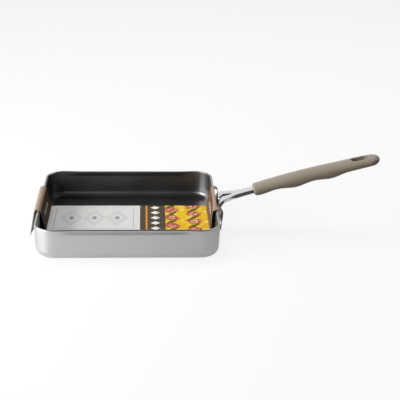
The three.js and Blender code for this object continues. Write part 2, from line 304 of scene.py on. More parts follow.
    def mix(self, share: Feed, first: Feed, second: Feed) -> Socket:
        """Mixes two colours.

        Args:
            share: How much of the second shows.
            first: The first colour.
            second: The second colour.

        Returns:
            The mixed colour.
        """
        node = self.tree.nodes.new("ShaderNodeMix")
        node.data_type = "RGBA"
        self.feed(node.inputs[0], share)
        self.feed(node.inputs[6], first)
        self.feed(node.inputs[7], second)
        return node.outputs[2]

    def noise(self, vector: Socket, scale: float = 1.0, detail: float = 2.0) -> Socket:
        """Soft noise from zero to one.

        Args:
            vector: The place.
            scale: Of the noise, to the unit of place.
            detail: How many finer layers it has.

        Returns:
            The noise.
        """
        node = self.tree.nodes.new("ShaderNodeTexNoise")
        node.inputs["Scale"].default_value = scale
        node.inputs["Detail"].default_value = detail
        self.tree.links.new(vector, node.inputs["Vector"])
        return node.outputs[0]

    def flecks(self, vector: Socket, scale: float, size: float) -> Socket:
        """One on scattered flecks, of the given size as a share of their spacing.

        Args:
            vector: The place.
            scale: Flecks to the unit of place.
            size: Of a fleck.

        Returns:
            The mask.
        """
        node = self.tree.nodes.new("ShaderNodeTexVoronoi")
        node.inputs["Scale"].default_value = scale
        self.tree.links.new(vector, node.inputs["Vector"])
        return self.below(node.outputs["Distance"], size)

    def stretch(self, amount: float) -> None:
        """Stretches highlights up and down on a piece that was brushed round the Z axis.

        Args:
            amount: From zero, where highlights stay round, to one.
        """
        tangent = self.tree.nodes.new("ShaderNodeTangent")
        tangent.direction_type = "RADIAL"
        tangent.axis = "Z"
        self.paint("Anisotropic", amount)
        self.paint("Anisotropic Rotation", 0.25)
        self.paint("Tangent", tangent.outputs[0])

    def bump(self, height: Feed, depth: float, strength: float) -> None:
        """Raises the surface a little by a height from zero to one.

        Args:
            height: The height.
            depth: What a height of one stands for, in metres.
            strength: How much of it is shown.
        """
        node = self.tree.nodes.new("ShaderNodeBump")
        node.inputs["Distance"].default_value = depth
        node.inputs["Strength"].default_value = strength
        self.feed(node.inputs["Height"], height)
        self.paint("Normal", node.outputs[0])


@dataclass(frozen=True)
class BrushedMetal:
    """Metal with fine brush lines that run level round the piece."""

    name: str
    colour: str
    shade: str
    roughness: float
    grain: float = 5200.0
    drift: float = 14.0
    stretch: float = 0.0
    crest: float = 0.0
    crest_roughness: float = 0.32

    def material(self) -> Material:
        """Builds the material.

        Returns:
            The material.
        """
        bench = ShaderBench(self.name, self.roughness, metallic=1.0)
        lines = bench.noise(bench.place((24.0, 24.0, self.grain)), detail=3.0)
        clouds = bench.noise(bench.place(), scale=self.drift, detail=3.0)
        bench.paint("Base Color", bench.mix(clouds, linear(self.shade), linear(self.colour)))
        spread = bench.math("ADD", bench.math("MULTIPLY", lines, 0.6), bench.math("MULTIPLY", clouds, 0.4))
        dullness = bench.span(spread, 0.3, 0.7, self.roughness - 0.05, self.roughness + 0.05)
        if self.crest:
            _, _, height = bench.split(bench.place())
            worn = bench.span(height, self.crest, self.crest + 0.4 * MM, 0.0, 1.0)
            keep = bench.math("SUBTRACT", 1.0, worn)
            smoothed = bench.product(worn, self.crest_roughness)
            dullness = bench.math("ADD", bench.product(dullness, keep), smoothed)
        bench.paint("Roughness", dullness)
        bench.bump(lines, 0.03 * MM, 0.25)
        if self.stretch:
            bench.stretch(self.stretch)
        return bench.material


@dataclass(frozen=True)
class NonstickCoat:
    """Sprayed dark coating with a fine orange peel and scattered pale flecks."""

    colour: str = "#191919"
    shade: str = "#161616"
    fleck: str = "#313133"
    roughness: float = 0.33
    specular: float = 1.0
    index: float = 1.85

    def material(self) -> Material:
        """Builds the material.

        Returns:
            The material.
        """
        bench = ShaderBench("nonstick_coat", self.roughness, specular=self.specular)
        bench.paint("IOR", self.index)
        place = bench.place()
        clouds = bench.noise(place, scale=40.0, detail=3.0)
        ground = bench.mix(clouds, linear(self.shade), linear(self.colour))
        flecks = bench.flecks(place, 900.0, 0.16)
        bench.paint("Base Color", bench.mix(flecks, ground, linear(self.fleck)))
        bench.paint("Roughness", bench.span(clouds, 0.3, 0.7, self.roughness - 0.04, self.roughness + 0.05))
        peel = bench.noise(place, scale=900.0, detail=2.0)
        bench.bump(peel, 0.06 * MM, 0.35)
        return bench.material


@dataclass(frozen=True)
class PolishedSteel:
    """Polished steel with faint polishing marks."""

    colour: str = "#E6E6E7"
    shade: str = "#DDDDDF"
    roughness: float = 0.09

    def material(self) -> Material:
        """Builds the material.

        Returns:
            The material.
        """
        bench = ShaderBench("polished_steel", self.roughness, metallic=1.0)
        marks = bench.noise(bench.place((160.0, 2600.0, 160.0)), detail=3.0)
        clouds = bench.noise(bench.place(), scale=90.0, detail=2.0)
        bench.paint("Base Color", bench.mix(clouds, linear(self.shade), linear(self.colour)))
        bench.paint("Roughness", bench.span(marks, 0.3, 0.7, self.roughness - 0.03, self.roughness + 0.04))
        bench.bump(marks, 0.004 * MM, 0.1)
        return bench.material


@dataclass(frozen=True)
class InlaidSteel:
    """Steel plate with rows of flush aluminium rounds, where the pan's base was pressed into its holes."""

    steel: str = "#A9A9A6"
    round: str = "#C9C9C9"
    seam: str = "#6E6E6C"
    pitch: float = 12.5 * MM
    round_radius: float = 2.6 * MM
    seam_width: float = 0.25 * MM
    roughness: float = 0.36

    def material(self) -> Material:
        """Builds the material.

        Returns:
            The material.
        """
        bench = ShaderBench("base_steel", self.roughness, metallic=1.0)
        along, across, _ = bench.split(bench.place())
        away = bench.radius(bench.repeat(along, self.pitch), bench.repeat(across, self.pitch))
        turning = bench.noise(bench.join(bench.radius(along, across)), scale=1600.0, detail=2.0)
        inside = bench.below(away, self.round_radius)
        seam = bench.between(away, self.round_radius - self.seam_width, self.round_radius + self.seam_width)
        metal = bench.mix(inside, linear(self.steel), linear(self.round))
        bench.paint("Base Color", bench.mix(seam, metal, linear(self.seam)))
        bench.paint("Roughness", bench.span(turning, 0.3, 0.7, self.roughness - 0.06, self.roughness + 0.08))
        bench.bump(bench.math("SUBTRACT", turning, seam), 0.04 * MM, 0.3)
        return bench.material


@dataclass(frozen=True)
class SoftGrip:
    """Moulded grip with a fine spark texture and a soft sheen."""

    colour: str = "#9A8E7B"
    shade: str = "#908472"
    roughness: float = 0.55
    specular: float = 0.5
    bloom: float = 0.45
    bloom_roughness: float = 0.5

    def material(self) -> Material:
        """Builds the material.

        Returns:
            The material.
        """
        bench = ShaderBench("grip_polymer", self.roughness, specular=self.specular)
        bench.paint("Sheen Weight", self.bloom)
        bench.paint("Sheen Roughness", self.bloom_roughness)
        place = bench.place()
        clouds = bench.noise(place, scale=26.0, detail=3.0)
        bench.paint("Base Color", bench.mix(clouds, linear(self.shade), linear(self.colour)))
        texture = bench.noise(place, scale=2200.0, detail=2.0)
        bench.paint("Roughness", bench.span(texture, 0.3, 0.7, self.roughness - 0.05, self.roughness + 0.07))
        bench.bump(texture, 0.05 * MM, 0.3)
        return bench.material


@dataclass(frozen=True)
class CardZones:
    """Where the print's zones begin along the card, from the foot of the far flap."""

    far_panel: float
    middle: float
    handle_panel: float
    handle_arch: float


@dataclass(frozen=True)
class LozengeRow:
    """A row of small lozenges across the card: its place along the card, its half size, number and colour."""

    middle: float
    half: float
    count: int
    ink: Ink


@dataclass(frozen=True)
class PrintedCard:
    """Uncoated kraft card with a lozenge print, a dark band and a fruit pattern."""

    zones: CardZones
    band_at: float = 104 * MM
    fruit_at: float = 133 * MM
    half_width: float = 40 * MM
    line_width: float = 0.7 * MM
    frame_inset: float = 7 * MM
    emblem_pitch: float = 26 * MM
    emblem_half: float = 12 * MM
    emblem_tall: float = 24 * MM
    rule_from: float = 6.5 * MM
    rule_width: float = 2 * MM
    row_from: float = 17.5 * MM
    row_half: float = 5.5 * MM
    small_half: float = 2.6 * MM
    fruit_pitch: float = 25 * MM
    fruit_radius: float = 8.5 * MM
    roughness: float = 0.75
    specular: float = 0.12

    def ground(self, bench: ShaderBench, fibres: Socket, along: Socket) -> Socket:
        """Paints the plain zones of the card.

        Args:
            bench: The material's nodes.
            fibres: Noise of the card's fibres.
            along: Place along the card.

        Returns:
            The colour.
        """
        zones = self.zones
        colour = bench.mix(fibres, linear(Ink.KRAFT_DEEP.value), linear(Ink.KRAFT.value))
        pale = bench.mix(fibres, linear(Ink.PALE_WARM.value), linear(Ink.PALE.value))
        for start, end, paint in (
            # The far panel gets the darkened copy of the tan, a painted shade.
            (zones.far_panel, zones.middle, linear(Ink.TAN_IN_PAINTED_SHADE.value)),
            (zones.middle, zones.handle_panel, pale),
            (zones.middle + self.band_at, zones.handle_panel, linear(Ink.BAND.value)),
            (zones.handle_panel, zones.handle_arch, linear(Ink.TAN.value)),
        ):
            colour = bench.mix(bench.between(along, start, end), colour, paint)
        return colour

    def lozenge_row(self, bench: ShaderBench, along: Socket, across: Socket, row: LozengeRow) -> Socket:
        """A mask of small lozenges in a row across the card.

        Args:
            bench: The material's nodes.
            along: Place along the card.
            across: Place across the card.
            row: Which row.

        Returns:
            The mask.
        """
        step = 3 * row.half
        here = bench.lozenge(bench.offset(along, row.middle), bench.repeat(across, step), row.half, row.half)
        inside = bench.below(bench.math("ABSOLUTE", across), (row.count / 2) * step)
        return bench.product(bench.below(here, 1.0), inside)

    def emblem(self, bench: ShaderBench, along: Socket, across: Socket) -> Socket:
        """A mask of three nested lozenges side by side, inside a line frame, on the pale zone.

        Args:
            bench: The material's nodes.
            along: Place along the card.
            across: Place across the card.

        Returns:
            The mask.
        """
        middle = self.zones.middle + self.band_at / 2
        half, tall = self.band_at / 2, self.half_width
        away = bench.offset(along, middle)
        edge = bench.math("MAXIMUM", bench.offset(bench.math("ABSOLUTE", away), half),
                          bench.offset(bench.math("ABSOLUTE", across), tall))
        mask = bench.between(edge, -self.frame_inset - self.line_width, -self.frame_inset)
        near = bench.below(bench.math("ABSOLUTE", away), 1.5 * self.emblem_pitch)
        nearest = bench.repeat(away, self.emblem_pitch)
        shape = bench.lozenge(nearest, across, self.emblem_half, self.emblem_tall)
        for outer, width in ((1.0, 0.055), (0.72, 0.05), (0.3, 0.3)):
            ring = bench.product(bench.between(shape, outer - width, outer), near)
            mask = bench.math("MAXIMUM", mask, ring)
        return mask

    def fruit(self, bench: ShaderBench, along: Socket, across: Socket, colour: Socket) -> Socket:
        """Paints loose slices and leaves on a yellow ground, each column half a step from the next.

        Args:
            bench: The material's nodes.
            along: Place along the card.
            across: Place across the card.
            colour: What shows round the pattern.

        Returns:
            The colour, with the pattern on it.
        """
        begin = self.zones.middle + self.fruit_at
        inside = bench.between(along, begin, self.zones.handle_panel)
        sheet = bench.join(along, across)
        clouds = bench.noise(sheet, scale=120.0, detail=3.0)
        sway = bench.span(bench.noise(sheet, scale=170.0), 0.3, 0.7, -3 * MM, 3 * MM)
        run = bench.math("ADD", bench.offset(along, begin - 5 * MM), sway)
        column = bench.math("FLOOR", bench.math("DIVIDE", run, self.fruit_pitch))
        drop = bench.product(bench.math("MODULO", column, 2.0), self.fruit_pitch / 2)
        u = bench.repeat(bench.offset(run, self.fruit_pitch / 2), self.fruit_pitch)
        v = bench.repeat(bench.math("ADD", bench.math("ADD", across, drop), sway), self.fruit_pitch)
        honey, yellow = linear(Ink.HONEY.value), linear(Ink.YELLOW.value)
        paint = bench.mix(bench.span(clouds, 0.35, 0.6, 0, 1), honey, yellow)
        paint = bench.mix(bench.span(clouds, 0.58, 0.7, 0, 1), paint, linear(Ink.CREAM.value))
        leaf_v = bench.repeat(bench.math("ADD", v, self.fruit_pitch / 2), self.fruit_pitch)
        leaf = bench.lozenge(bench.math("ADD", u, leaf_v), bench.math("SUBTRACT", leaf_v, u), 18 * MM, 4 * MM)
        paint = bench.mix(bench.span(leaf, 0.8, 1.2, 1, 0), paint, linear(Ink.LEAF.value))
        away = bench.radius(u, v)
        slice_paint = bench.mix(clouds, linear(Ink.RED.value), linear(Ink.ROSE.value))
        slices = bench.span(away, self.fruit_radius - 1.5 * MM, self.fruit_radius + 1 * MM, 1, 0)
        paint = bench.mix(slices, paint, slice_paint)
        paint = bench.mix(bench.between(away, 3 * MM, 4.2 * MM), paint, linear(Ink.CREAM.value))
        return bench.mix(inside, colour, paint)

    def material(self) -> Material:
        """Builds the printed side.

        Returns:
            The material.
        """
        bench = ShaderBench("printed_card", self.roughness, specular=self.specular)
        along, across = bench.uv(CardSleeve.UV_NAME)
        fibres = bench.noise(bench.join(along, bench.product(across, 2.5)), scale=900.0, detail=4.0)
        zones = self.zones
        colour = self.ground(bench, fibres, along)
        colour = bench.mix(self.emblem(bench, along, across), colour, linear(Ink.LINE.value))
        band = zones.middle + self.band_at
        rule = bench.between(along, band + self.rule_from, band + self.rule_from + self.rule_width)
        colour = bench.mix(rule, colour, linear(Ink.ORANGE.value))
        rows = (
            LozengeRow(band + self.row_from, self.row_half, 7, Ink.WHITE),
            LozengeRow((zones.far_panel + zones.middle) / 2, self.small_half, 5, Ink.PALE_WARM),
            LozengeRow((zones.handle_panel + zones.handle_arch) / 2, self.small_half, 5, Ink.PALE_WARM),
        )
        for row in rows:
            colour = bench.mix(self.lozenge_row(bench, along, across, row), colour, linear(row.ink.value))
        colour = self.fruit(bench, along, across, colour)
        bench.paint("Base Color", colour)
        bench.bump(fibres, 0.04 * MM, 0.25)
        return bench.material


@dataclass(frozen=True)
class PlainBoard:
    """Bare card: its grey reverse, or its cut edge."""

    name: str
    light: Ink
    dark: Ink
    roughness: float = 0.85

    def material(self) -> Material:
        """Builds the material.

        Returns:
            The material.
        """
        bench = ShaderBench(self.name, self.roughness, specular=0.2)
        fibres = bench.noise(bench.place(), scale=1100.0, detail=4.0)
        bench.paint("Base Color", bench.mix(fibres, linear(self.dark.value), linear(self.light.value)))
        bench.bump(fibres, 0.05 * MM, 0.3)
        return bench.material


# Mesh work


def with_modifier(bm: BMesh, kind: str, slots: int = 0, **settings: object) -> BMesh:
    """Applies one modifier to a mesh.

    Args:
        bm: The mesh, which is used up.
        kind: The modifier's type.
        slots: How many material slots the mesh has.
        settings: The modifier's settings.

    Returns:
        The changed mesh.
    """
    mesh = bpy.data.meshes.new("blank")
    bm.to_mesh(mesh)
    bm.free()
    for _ in range(slots):
        mesh.materials.append(None)
    blank = bpy.data.objects.new("blank", mesh)
    bpy.context.scene.collection.objects.link(blank)
    modifier = blank.modifiers.new(kind, kind)
    for name, value in settings.items():
        setattr(modifier, name, value)
    graph = bpy.context.evaluated_depsgraph_get()
    shaped = bmesh.new()
    shaped.from_mesh(blank.evaluated_get(graph).to_mesh())
    bpy.data.objects.remove(blank)
    bpy.data.meshes.remove(mesh)
    return shaped


def carve(bm: BMesh, *tools: BMesh) -> BMesh:
    """Cuts closed shapes out of a mesh.

    Args:
        bm: The mesh, which is used up.
        tools: The shapes to cut, which are used up.

    Returns:
        The mesh that is left.
    """
    for tool in tools:
        mesh = bpy.data.meshes.new("cutter")
        tool.to_mesh(mesh)
        tool.free()
        cutter = bpy.data.objects.new("cutter", mesh)
        bpy.context.scene.collection.objects.link(cutter)
        bm = with_modifier(bm, "BOOLEAN", operation="DIFFERENCE", solver="EXACT", object=cutter)
        bpy.data.objects.remove(cutter)
        bpy.data.meshes.remove(mesh)
    return bm


def clean(bm: BMesh) -> BMesh:
    """Merges doubles and turns the faces outwards.

    Args:
        bm: The mesh.

    Returns:
        The same mesh.
    """
    bmesh.ops.remove_doubles(bm, verts=bm.verts, dist=TINY)
    bmesh.ops.recalc_face_normals(bm, faces=bm.faces)
    return bm


def chain(bm: BMesh, points: Sequence[Sequence[float]]) -> list[Union[BMVert, BMEdge]]:
    """Draws a line of edges through points, and returns its vertices and edges."""
    verts = [bm.verts.new(point) for point in points]
    return verts + [bm.edges.new(pair) for pair in zip(verts, verts[1:])]


def extrude_row(bm: BMesh, row: Sequence[BMEdge]) -> tuple[list[BMVert], list[BMEdge]]:
    """Extrudes a row of edges in place.

    Args:
        bm: The mesh.
        row: The edges.

    Returns:
        The new row's vertices, which are still to be moved, and its edges.
    """
    made = bmesh.ops.extrude_edge_only(bm, edges=row)["geom"]
    verts = [item for item in made if isinstance(item, BMVert)]
    fresh = set(verts)
    edges = [item for item in made if isinstance(item, BMEdge) and fresh.issuperset(item.verts)]
    return verts, edges


def arc(centre: tuple[float, float], radius: float, start: float, end: float, steps: int) -> Profile:
    """Points along an arc, from one angle to another."""
    angles = [start + (end - start) * step / steps for step in range(steps + 1)]
    return [(centre[0] + radius * math.cos(a), centre[1] + radius * math.sin(a)) for a in angles]


def smooth_step(value: float, low: float, high: float) -> float:
    """Rises smoothly from zero at the low value to one at the high one."""
    share = min(max((value - low) / (high - low), 0.0), 1.0)
    return share * share * (3 - 2 * share)


def turned(profile: Profile, sides: int = 40) -> BMesh:
    """Turns a profile of radius and height round Z into a closed solid.

    Args:
        profile: The profile's points.
        sides: How many sides the solid has.

    Returns:
        The solid.
    """
    bm = bmesh.new()
    line = chain(bm, [(radius, 0.0, height) for radius, height in profile])
    bmesh.ops.spin(bm, geom=line, cent=(0, 0, 0), axis=(0, 0, 1), angle=math.tau, steps=sides, use_merge=True)
    return clean(bm)


def rounded_plate(half: float, half_across: float, corner: float, low: float, high: float,
                  steps: int = 10) -> BMesh:
    """A level plate with rounded corners.

    Args:
        half: Half its length along X.
        half_across: Half its width along Y.
        corner: Radius of its corners.
        low: Height of its lower face.
        high: Height of its upper face.
        steps: Steps in each corner.

    Returns:
        A closed solid.
    """
    bm = bmesh.new()
    bmesh.ops.create_grid(bm, x_segments=1, y_segments=1, size=1.0)
    bmesh.ops.scale(bm, vec=(half, half_across, 1.0), verts=bm.verts)
    bmesh.ops.bevel(bm, geom=bm.verts[:], offset=corner, offset_type="OFFSET", affect="VERTICES",
                    segments=steps, profile=0.5, material=-1)
    bmesh.ops.translate(bm, vec=(0, 0, low), verts=bm.verts)
    made = bmesh.ops.extrude_face_region(bm, geom=bm.faces[:], use_keep_orig=True)["geom"]
    bmesh.ops.translate(bm, vec=(0, 0, high - low), verts=[v for v in made if isinstance(v, BMVert)])
    return clean(bm)


def moved(bm: BMesh, matrix: Matrix) -> BMesh:
    """Moves a whole mesh by a matrix."""
    bmesh.ops.transform(bm, matrix=matrix, verts=bm.verts)
    return bm


def dress(name: str, bm: BMesh, node: str, body: Body, slot: Slot, *finishes: Material,
          crease: float = 35.0) -> Object:
    """Makes a finished piece of a mesh.

    Args:
        name: The piece's name.
        bm: Its mesh, which is used up.
        node: The solid that it stands for.
        body: The body that it moves with.
        slot: The record's slot for its finish; not used.
        finishes: Its materials.
        crease: Angle in degrees past which an edge is sharp.

    Returns:
        The piece.
    """
    mesh = bpy.data.meshes.new(name)
    bm.to_mesh(mesh)
    bm.free()
    mesh.shade_smooth()
    mesh.set_sharp_from_angle(angle=math.radians(crease))
    for finish in finishes:
        mesh.materials.append(finish)
    piece = bpy.data.objects.new(name, mesh)
    bpy.context.scene.collection.objects.link(piece)
    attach(piece, body.value)
    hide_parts(node)
    LOG.info("%s: %d faces", name, len(mesh.polygons))
    return piece


@dataclass(frozen=True)
class Corner:
    """A point of a ribbon's line, with the radius of the bend there."""

    x: float
    z: float
    radius: float = 0.0

    @property
    def point(self) -> Vector:
        """The point in space."""
        return Vector((self.x, 0.0, self.z))


class Ribbon:
    """A section that is led row by row along a line in X and Z."""

    BEND_STEP = math.radians(9)
    RUN_LAYER = "run"
    STATION_LAYER = "station"

    def __init__(self, section: Profile, start: Corner, towards: Corner, step: float,
                 closed: bool = False) -> None:
        """Lays the first row.

        Args:
            section: Places of the row's vertices across Y and to the left of the line.
            start: Where the line starts.
            towards: The next corner of the line.
            step: About how far apart the rows lie on a straight.
            closed: Whether the section's last vertex joins its first, and the ribbon's ends are closed.
        """
        self.bm = bmesh.new()
        self.run_layer = self.bm.verts.layers.float.new(self.RUN_LAYER)
        self.station_layer = self.bm.verts.layers.int.new(self.STATION_LAYER)
        self.step = step
        self.run = 0.0
        self.place = start.point
        self.heading = (towards.point - start.point).normalized()
        self.first_left = Vector((-self.heading.z, 0.0, self.heading.x))
        places = [self.place + self.first_left * left + Vector((0.0, y, 0.0)) for y, left in section]
        line = chain(self.bm, places)
        ring = line[:len(section)]
        self.row = line[len(section):]
        for station, vert in enumerate(ring):
            vert[self.station_layer] = station
        if closed:
            self.row.append(self.bm.edges.new((ring[-1], ring[0])))
            bmesh.ops.edgeloop_fill(self.bm, edges=self.row)

    def next_row(self, run: float) -> list[BMVert]:
        """Adds a row, which is still to be moved, this much further along the line.

        Args:
            run: How much further.

        Returns:
            The row's vertices.
        """
        verts, self.row = extrude_row(self.bm, self.row)
        self.run += run
        for vert in verts:
            vert[self.run_layer] = self.run
        return verts

    def straight(self, distance: float) -> None:
        """Leads the ribbon straight on.

        Args:
            distance: How far.
        """
        count = max(1, round(distance / self.step))
        shift = self.heading * (distance / count)
        for _ in range(count):
            bmesh.ops.translate(self.bm, verts=self.next_row(distance / count), vec=shift)
        self.place = self.place + self.heading * distance

    def bend(self, angle: float, radius: float) -> float:
        """Leads the ribbon round an arc.

        Args:
            angle: How far it turns, from X towards Z.
            radius: The arc's radius.

        Returns:
            The run at the arc's middle.
        """
        left = Vector((-self.heading.z, 0.0, self.heading.x))
        centre = self.place + left * math.copysign(radius, angle)
        count = max(2, round(abs(angle) / self.BEND_STEP))
        length = radius * abs(angle)
        middle = self.run + length / 2
        for _ in range(count):
            verts = self.next_row(length / count)
            bmesh.ops.rotate(self.bm, verts=verts, cent=centre,
                             matrix=Matrix.Rotation(-angle / count, 3, "Y"))
        whole = Matrix.Rotation(-angle, 3, "Y")
        self.place = centre + whole @ (self.place - centre)
        self.heading = whole @ self.heading
        return middle

    def round(self, here: Corner, beyond: Corner) -> float:
        """Leads the ribbon up to a corner and round it.

        Args:
            here: The corner.
            beyond: The next one.

        Returns:
            The run at the middle of the bend.
        """
        onward = (beyond.point - here.point).normalized()
        turn = self.heading.x * onward.z - self.heading.z * onward.x
        angle = math.atan2(turn, self.heading.dot(onward))
        self.straight((here.point - self.place).length - here.radius * math.tan(abs(angle) / 2))
        return self.bend(angle, here.radius)

    def keep(self, wanted: Callable[[float], bool]) -> None:
        """Goes on only with the edges whose middle, across Y, is wanted."""
        self.row = [edge for edge in self.row if wanted((edge.verts[0].co.y + edge.verts[1].co.y) / 2)]

    def capped(self) -> BMesh:
        """Closes the far end of a closed section, and returns the mesh."""
        bmesh.ops.edgeloop_fill(self.bm, edges=self.row)
        return clean(self.bm)

    def faced(self) -> BMesh:
        """Turns the faces to the left of the line, and returns the mesh.

        Returns:
            The mesh.
        """
        self.bm.normal_update()
        self.bm.faces.ensure_lookup_table()
        if self.bm.faces[0].normal.dot(self.first_left) < 0:
            bmesh.ops.reverse_faces(self.bm, faces=self.bm.faces)
        return self.bm


# The pan


@dataclass(frozen=True)
class WallShape:
    """The pan's wall in section and its corners in plan."""

    half: float
    height: float
    corner: float = 22 * MM
    lean: float = 1.2 * MM
    wall: float = 2.4 * MM
    floor: float = 2.9 * MM
    base_radius: float = 9.5 * MM
    rim_radius: float = 1.15 * MM
    seat: float = 0.1 * MM
    coat: float = 0.3 * MM
    lip_gap: float = 0.03 * MM
    lip_coat: float = 0.13 * MM
    lip_end: float = math.radians(148)
    lip_steps: int = 3
    drawn_in: float = 0.8 * MM
    drawn_from: float = 6 * MM
    drawn_to: float = 1.4 * MM
    drawn_half: float = 58 * MM
    barrel: float = 0.6 * MM
    barrel_from: float = 12 * MM
    fillet_steps: int = 14
    rim_steps: int = 6
    drawn_steps: int = 24

    @property
    def tilt(self) -> float:
        """Angle of the wall from the upright."""
        return math.atan(self.lean / self.height)

    @property
    def corner_centre(self) -> float:
        """Distance of a corner's centre from the middle planes."""
        return self.half - self.corner

    @property
    def inner_radius(self) -> float:
        """Radius where the inner wall turns into the floor."""
        return self.base_radius - self.wall

    @property
    def coat_back(self) -> float:
        """Depth of the lining's back below the wall's outer face."""
        return self.wall + self.seat

    @property
    def coat_face(self) -> float:
        """Depth of the lining's face below the wall's outer face."""
        return self.coat_back + self.coat

    def at(self, height: float, depth: float) -> float:
        """Distance from the axis of the surface at a depth below the wall's outer face."""
        return self.half - (self.height - height) * math.tan(self.tilt) - depth / math.cos(self.tilt)

    def bottom_edge(self, level: float, depth: float, radius: float) -> Profile:
        """The rounded edge from a level face up to the surface at a depth."""
        centre = (self.at(level + radius, depth + radius), level + radius)
        return arc(centre, radius, -math.pi / 2, -self.tilt, self.fillet_steps)

    def upper_wall(self, depth: float) -> Profile:
        """Points up the part of the wall that is drawn in.

        Args:
            depth: From the wall's outer face.

        Returns:
            The points, as distance out and height.
        """
        top = self.height - self.drawn_to
        rise = (top - self.barrel_from) / self.drawn_steps
        heights = [self.barrel_from + rise * step for step in range(self.drawn_steps + 1)]
        return [(self.at(height, depth), height) for height in heights]

    def rim(self) -> Profile:
        """The rim, from the outer face over the top to the inner one.

        Returns:
            The points, as distance out and height.
        """
        height = self.height - self.rim_radius
        outer = (self.at(height, self.rim_radius), height)
        inner = (self.at(height, self.wall - self.rim_radius), height)
        return (arc(outer, self.rim_radius, -self.tilt, math.pi / 2, self.rim_steps)
                + arc(inner, self.rim_radius, math.pi / 2, math.pi - self.tilt, self.rim_steps))

    def lip(self, lift: float) -> Profile:
        """The coat's turn on to the rim, from the inner face to short of the crest.

        Args:
            lift: How far it lies off the metal.

        Returns:
            The points, as distance out and height.
        """
        height = self.height - self.rim_radius
        inner = (self.at(height, self.wall - self.rim_radius), height)
        return arc(inner, self.rim_radius + lift, math.pi - self.tilt, self.lip_end, self.lip_steps)

    def draw_in(self, bm: BMesh) -> None:
        """Pulls the tops of the two free walls in between their stiff corners, as pressing leaves them.

        Args:
            bm: The mesh of a piece that follows the wall.
        """
        for vert in bm.verts:
            up = smooth_step(vert.co.z, self.height - self.drawn_from, self.height - self.drawn_to)
            bow = max((vert.co.z - self.barrel_from) / (self.height - self.barrel_from), 0.0) ** 2
            inside = 1 - smooth_step(abs(vert.co.x), self.drawn_half, self.corner_centre)
            if abs(vert.co.y) > self.corner_centre:
                vert.co.y -= math.copysign((self.drawn_in * up + self.barrel * bow) * inside, vert.co.y)


@dataclass
class RivetPair:
    """The two rivets that hold the bracket to the wall."""

    shape: WallShape
    spacing: float = 28 * MM
    shank_radius: float = 2.5 * MM
    head_radius: float = 5.2 * MM
    head_height: float = 2.2 * MM
    above_radius: float = 1.4 * MM
    clearance: float = 0.3 * MM
    grip_length: float = 3.9 * MM
    head_lip: float = 0.4 * MM
    dome_steps: int = 12

    @property
    def height(self) -> float:
        """Height of the rivets above the surface that the pan stands on."""
        return self.shape.floor + self.shape.inner_radius + self.above_radius + self.head_radius

    @property
    def places(self) -> tuple[float, float]:
        """Where the rivets sit across the wall."""
        return -self.spacing / 2, self.spacing / 2

    def matrix(self, y: float) -> Matrix:
        """A frame on the wall's outer face, with its Z axis straight out of the wall."""
        out = Matrix.Rotation(math.pi / 2 + self.shape.tilt, 4, "Y")
        return Matrix.Translation((self.shape.at(self.height, 0.0), y, self.height)) @ out

    def bores(self) -> list[BMesh]:
        """Rods that cut the rivets' holes.

        Returns:
            One rod for each rivet.
        """
        tools = []
        for y in self.places:
            bm = bmesh.new()
            radius = self.shank_radius + self.clearance
            bmesh.ops.create_cone(bm, cap_ends=True, segments=32, radius1=radius, radius2=radius,
                                  depth=8 * self.wall_stack)
            tools.append(moved(bm, self.matrix(y)))
        return tools

    @property
    def wall_stack(self) -> float:
        """Thickness of what the rivets hold together."""
        return self.shape.coat_face + self.grip_length

    def head(self, base: float, way: float) -> Profile:
        """A domed head's outline from its rim to its crown, with a small flat at the rim.

        Args:
            base: Where the head starts, along the rivet.
            way: One or minus one, the way that it points.

        Returns:
            Radius and height of each point.
        """
        lip = self.head_lip
        dome = arc((0.0, 0.0), 1.0, 0.0, math.pi / 2, self.dome_steps)
        rise = self.head_height - lip
        return [(self.head_radius, base)] + [
            (self.head_radius * along, base + way * (lip + rise * up)) for along, up in dome
        ]

    def build(self) -> list[Object]:
        """Makes both rivets.

        Returns:
            The two pieces.
        """
        finish = BrushedMetal("rivet_aluminium", "#CDCDCB", "#BFBFBD", 0.26, grain=900.0).material()
        outer = self.grip_length + self.clearance / 3
        inner = -self.shape.coat_face - self.clearance / 3
        profile = (self.head(inner, -1.0)[::-1] + [(self.shank_radius, inner), (self.shank_radius, outer)]
                   + self.head(outer, 1.0))
        pieces = []
        for side, y in zip(("front", "back"), self.places):
            bm = moved(turned(profile), self.matrix(y))
            pieces.append(dress(f"{side}_rivet", bm, f"rivet_{side}", Body.PAN, Slot.RIVET, finish))
        return pieces


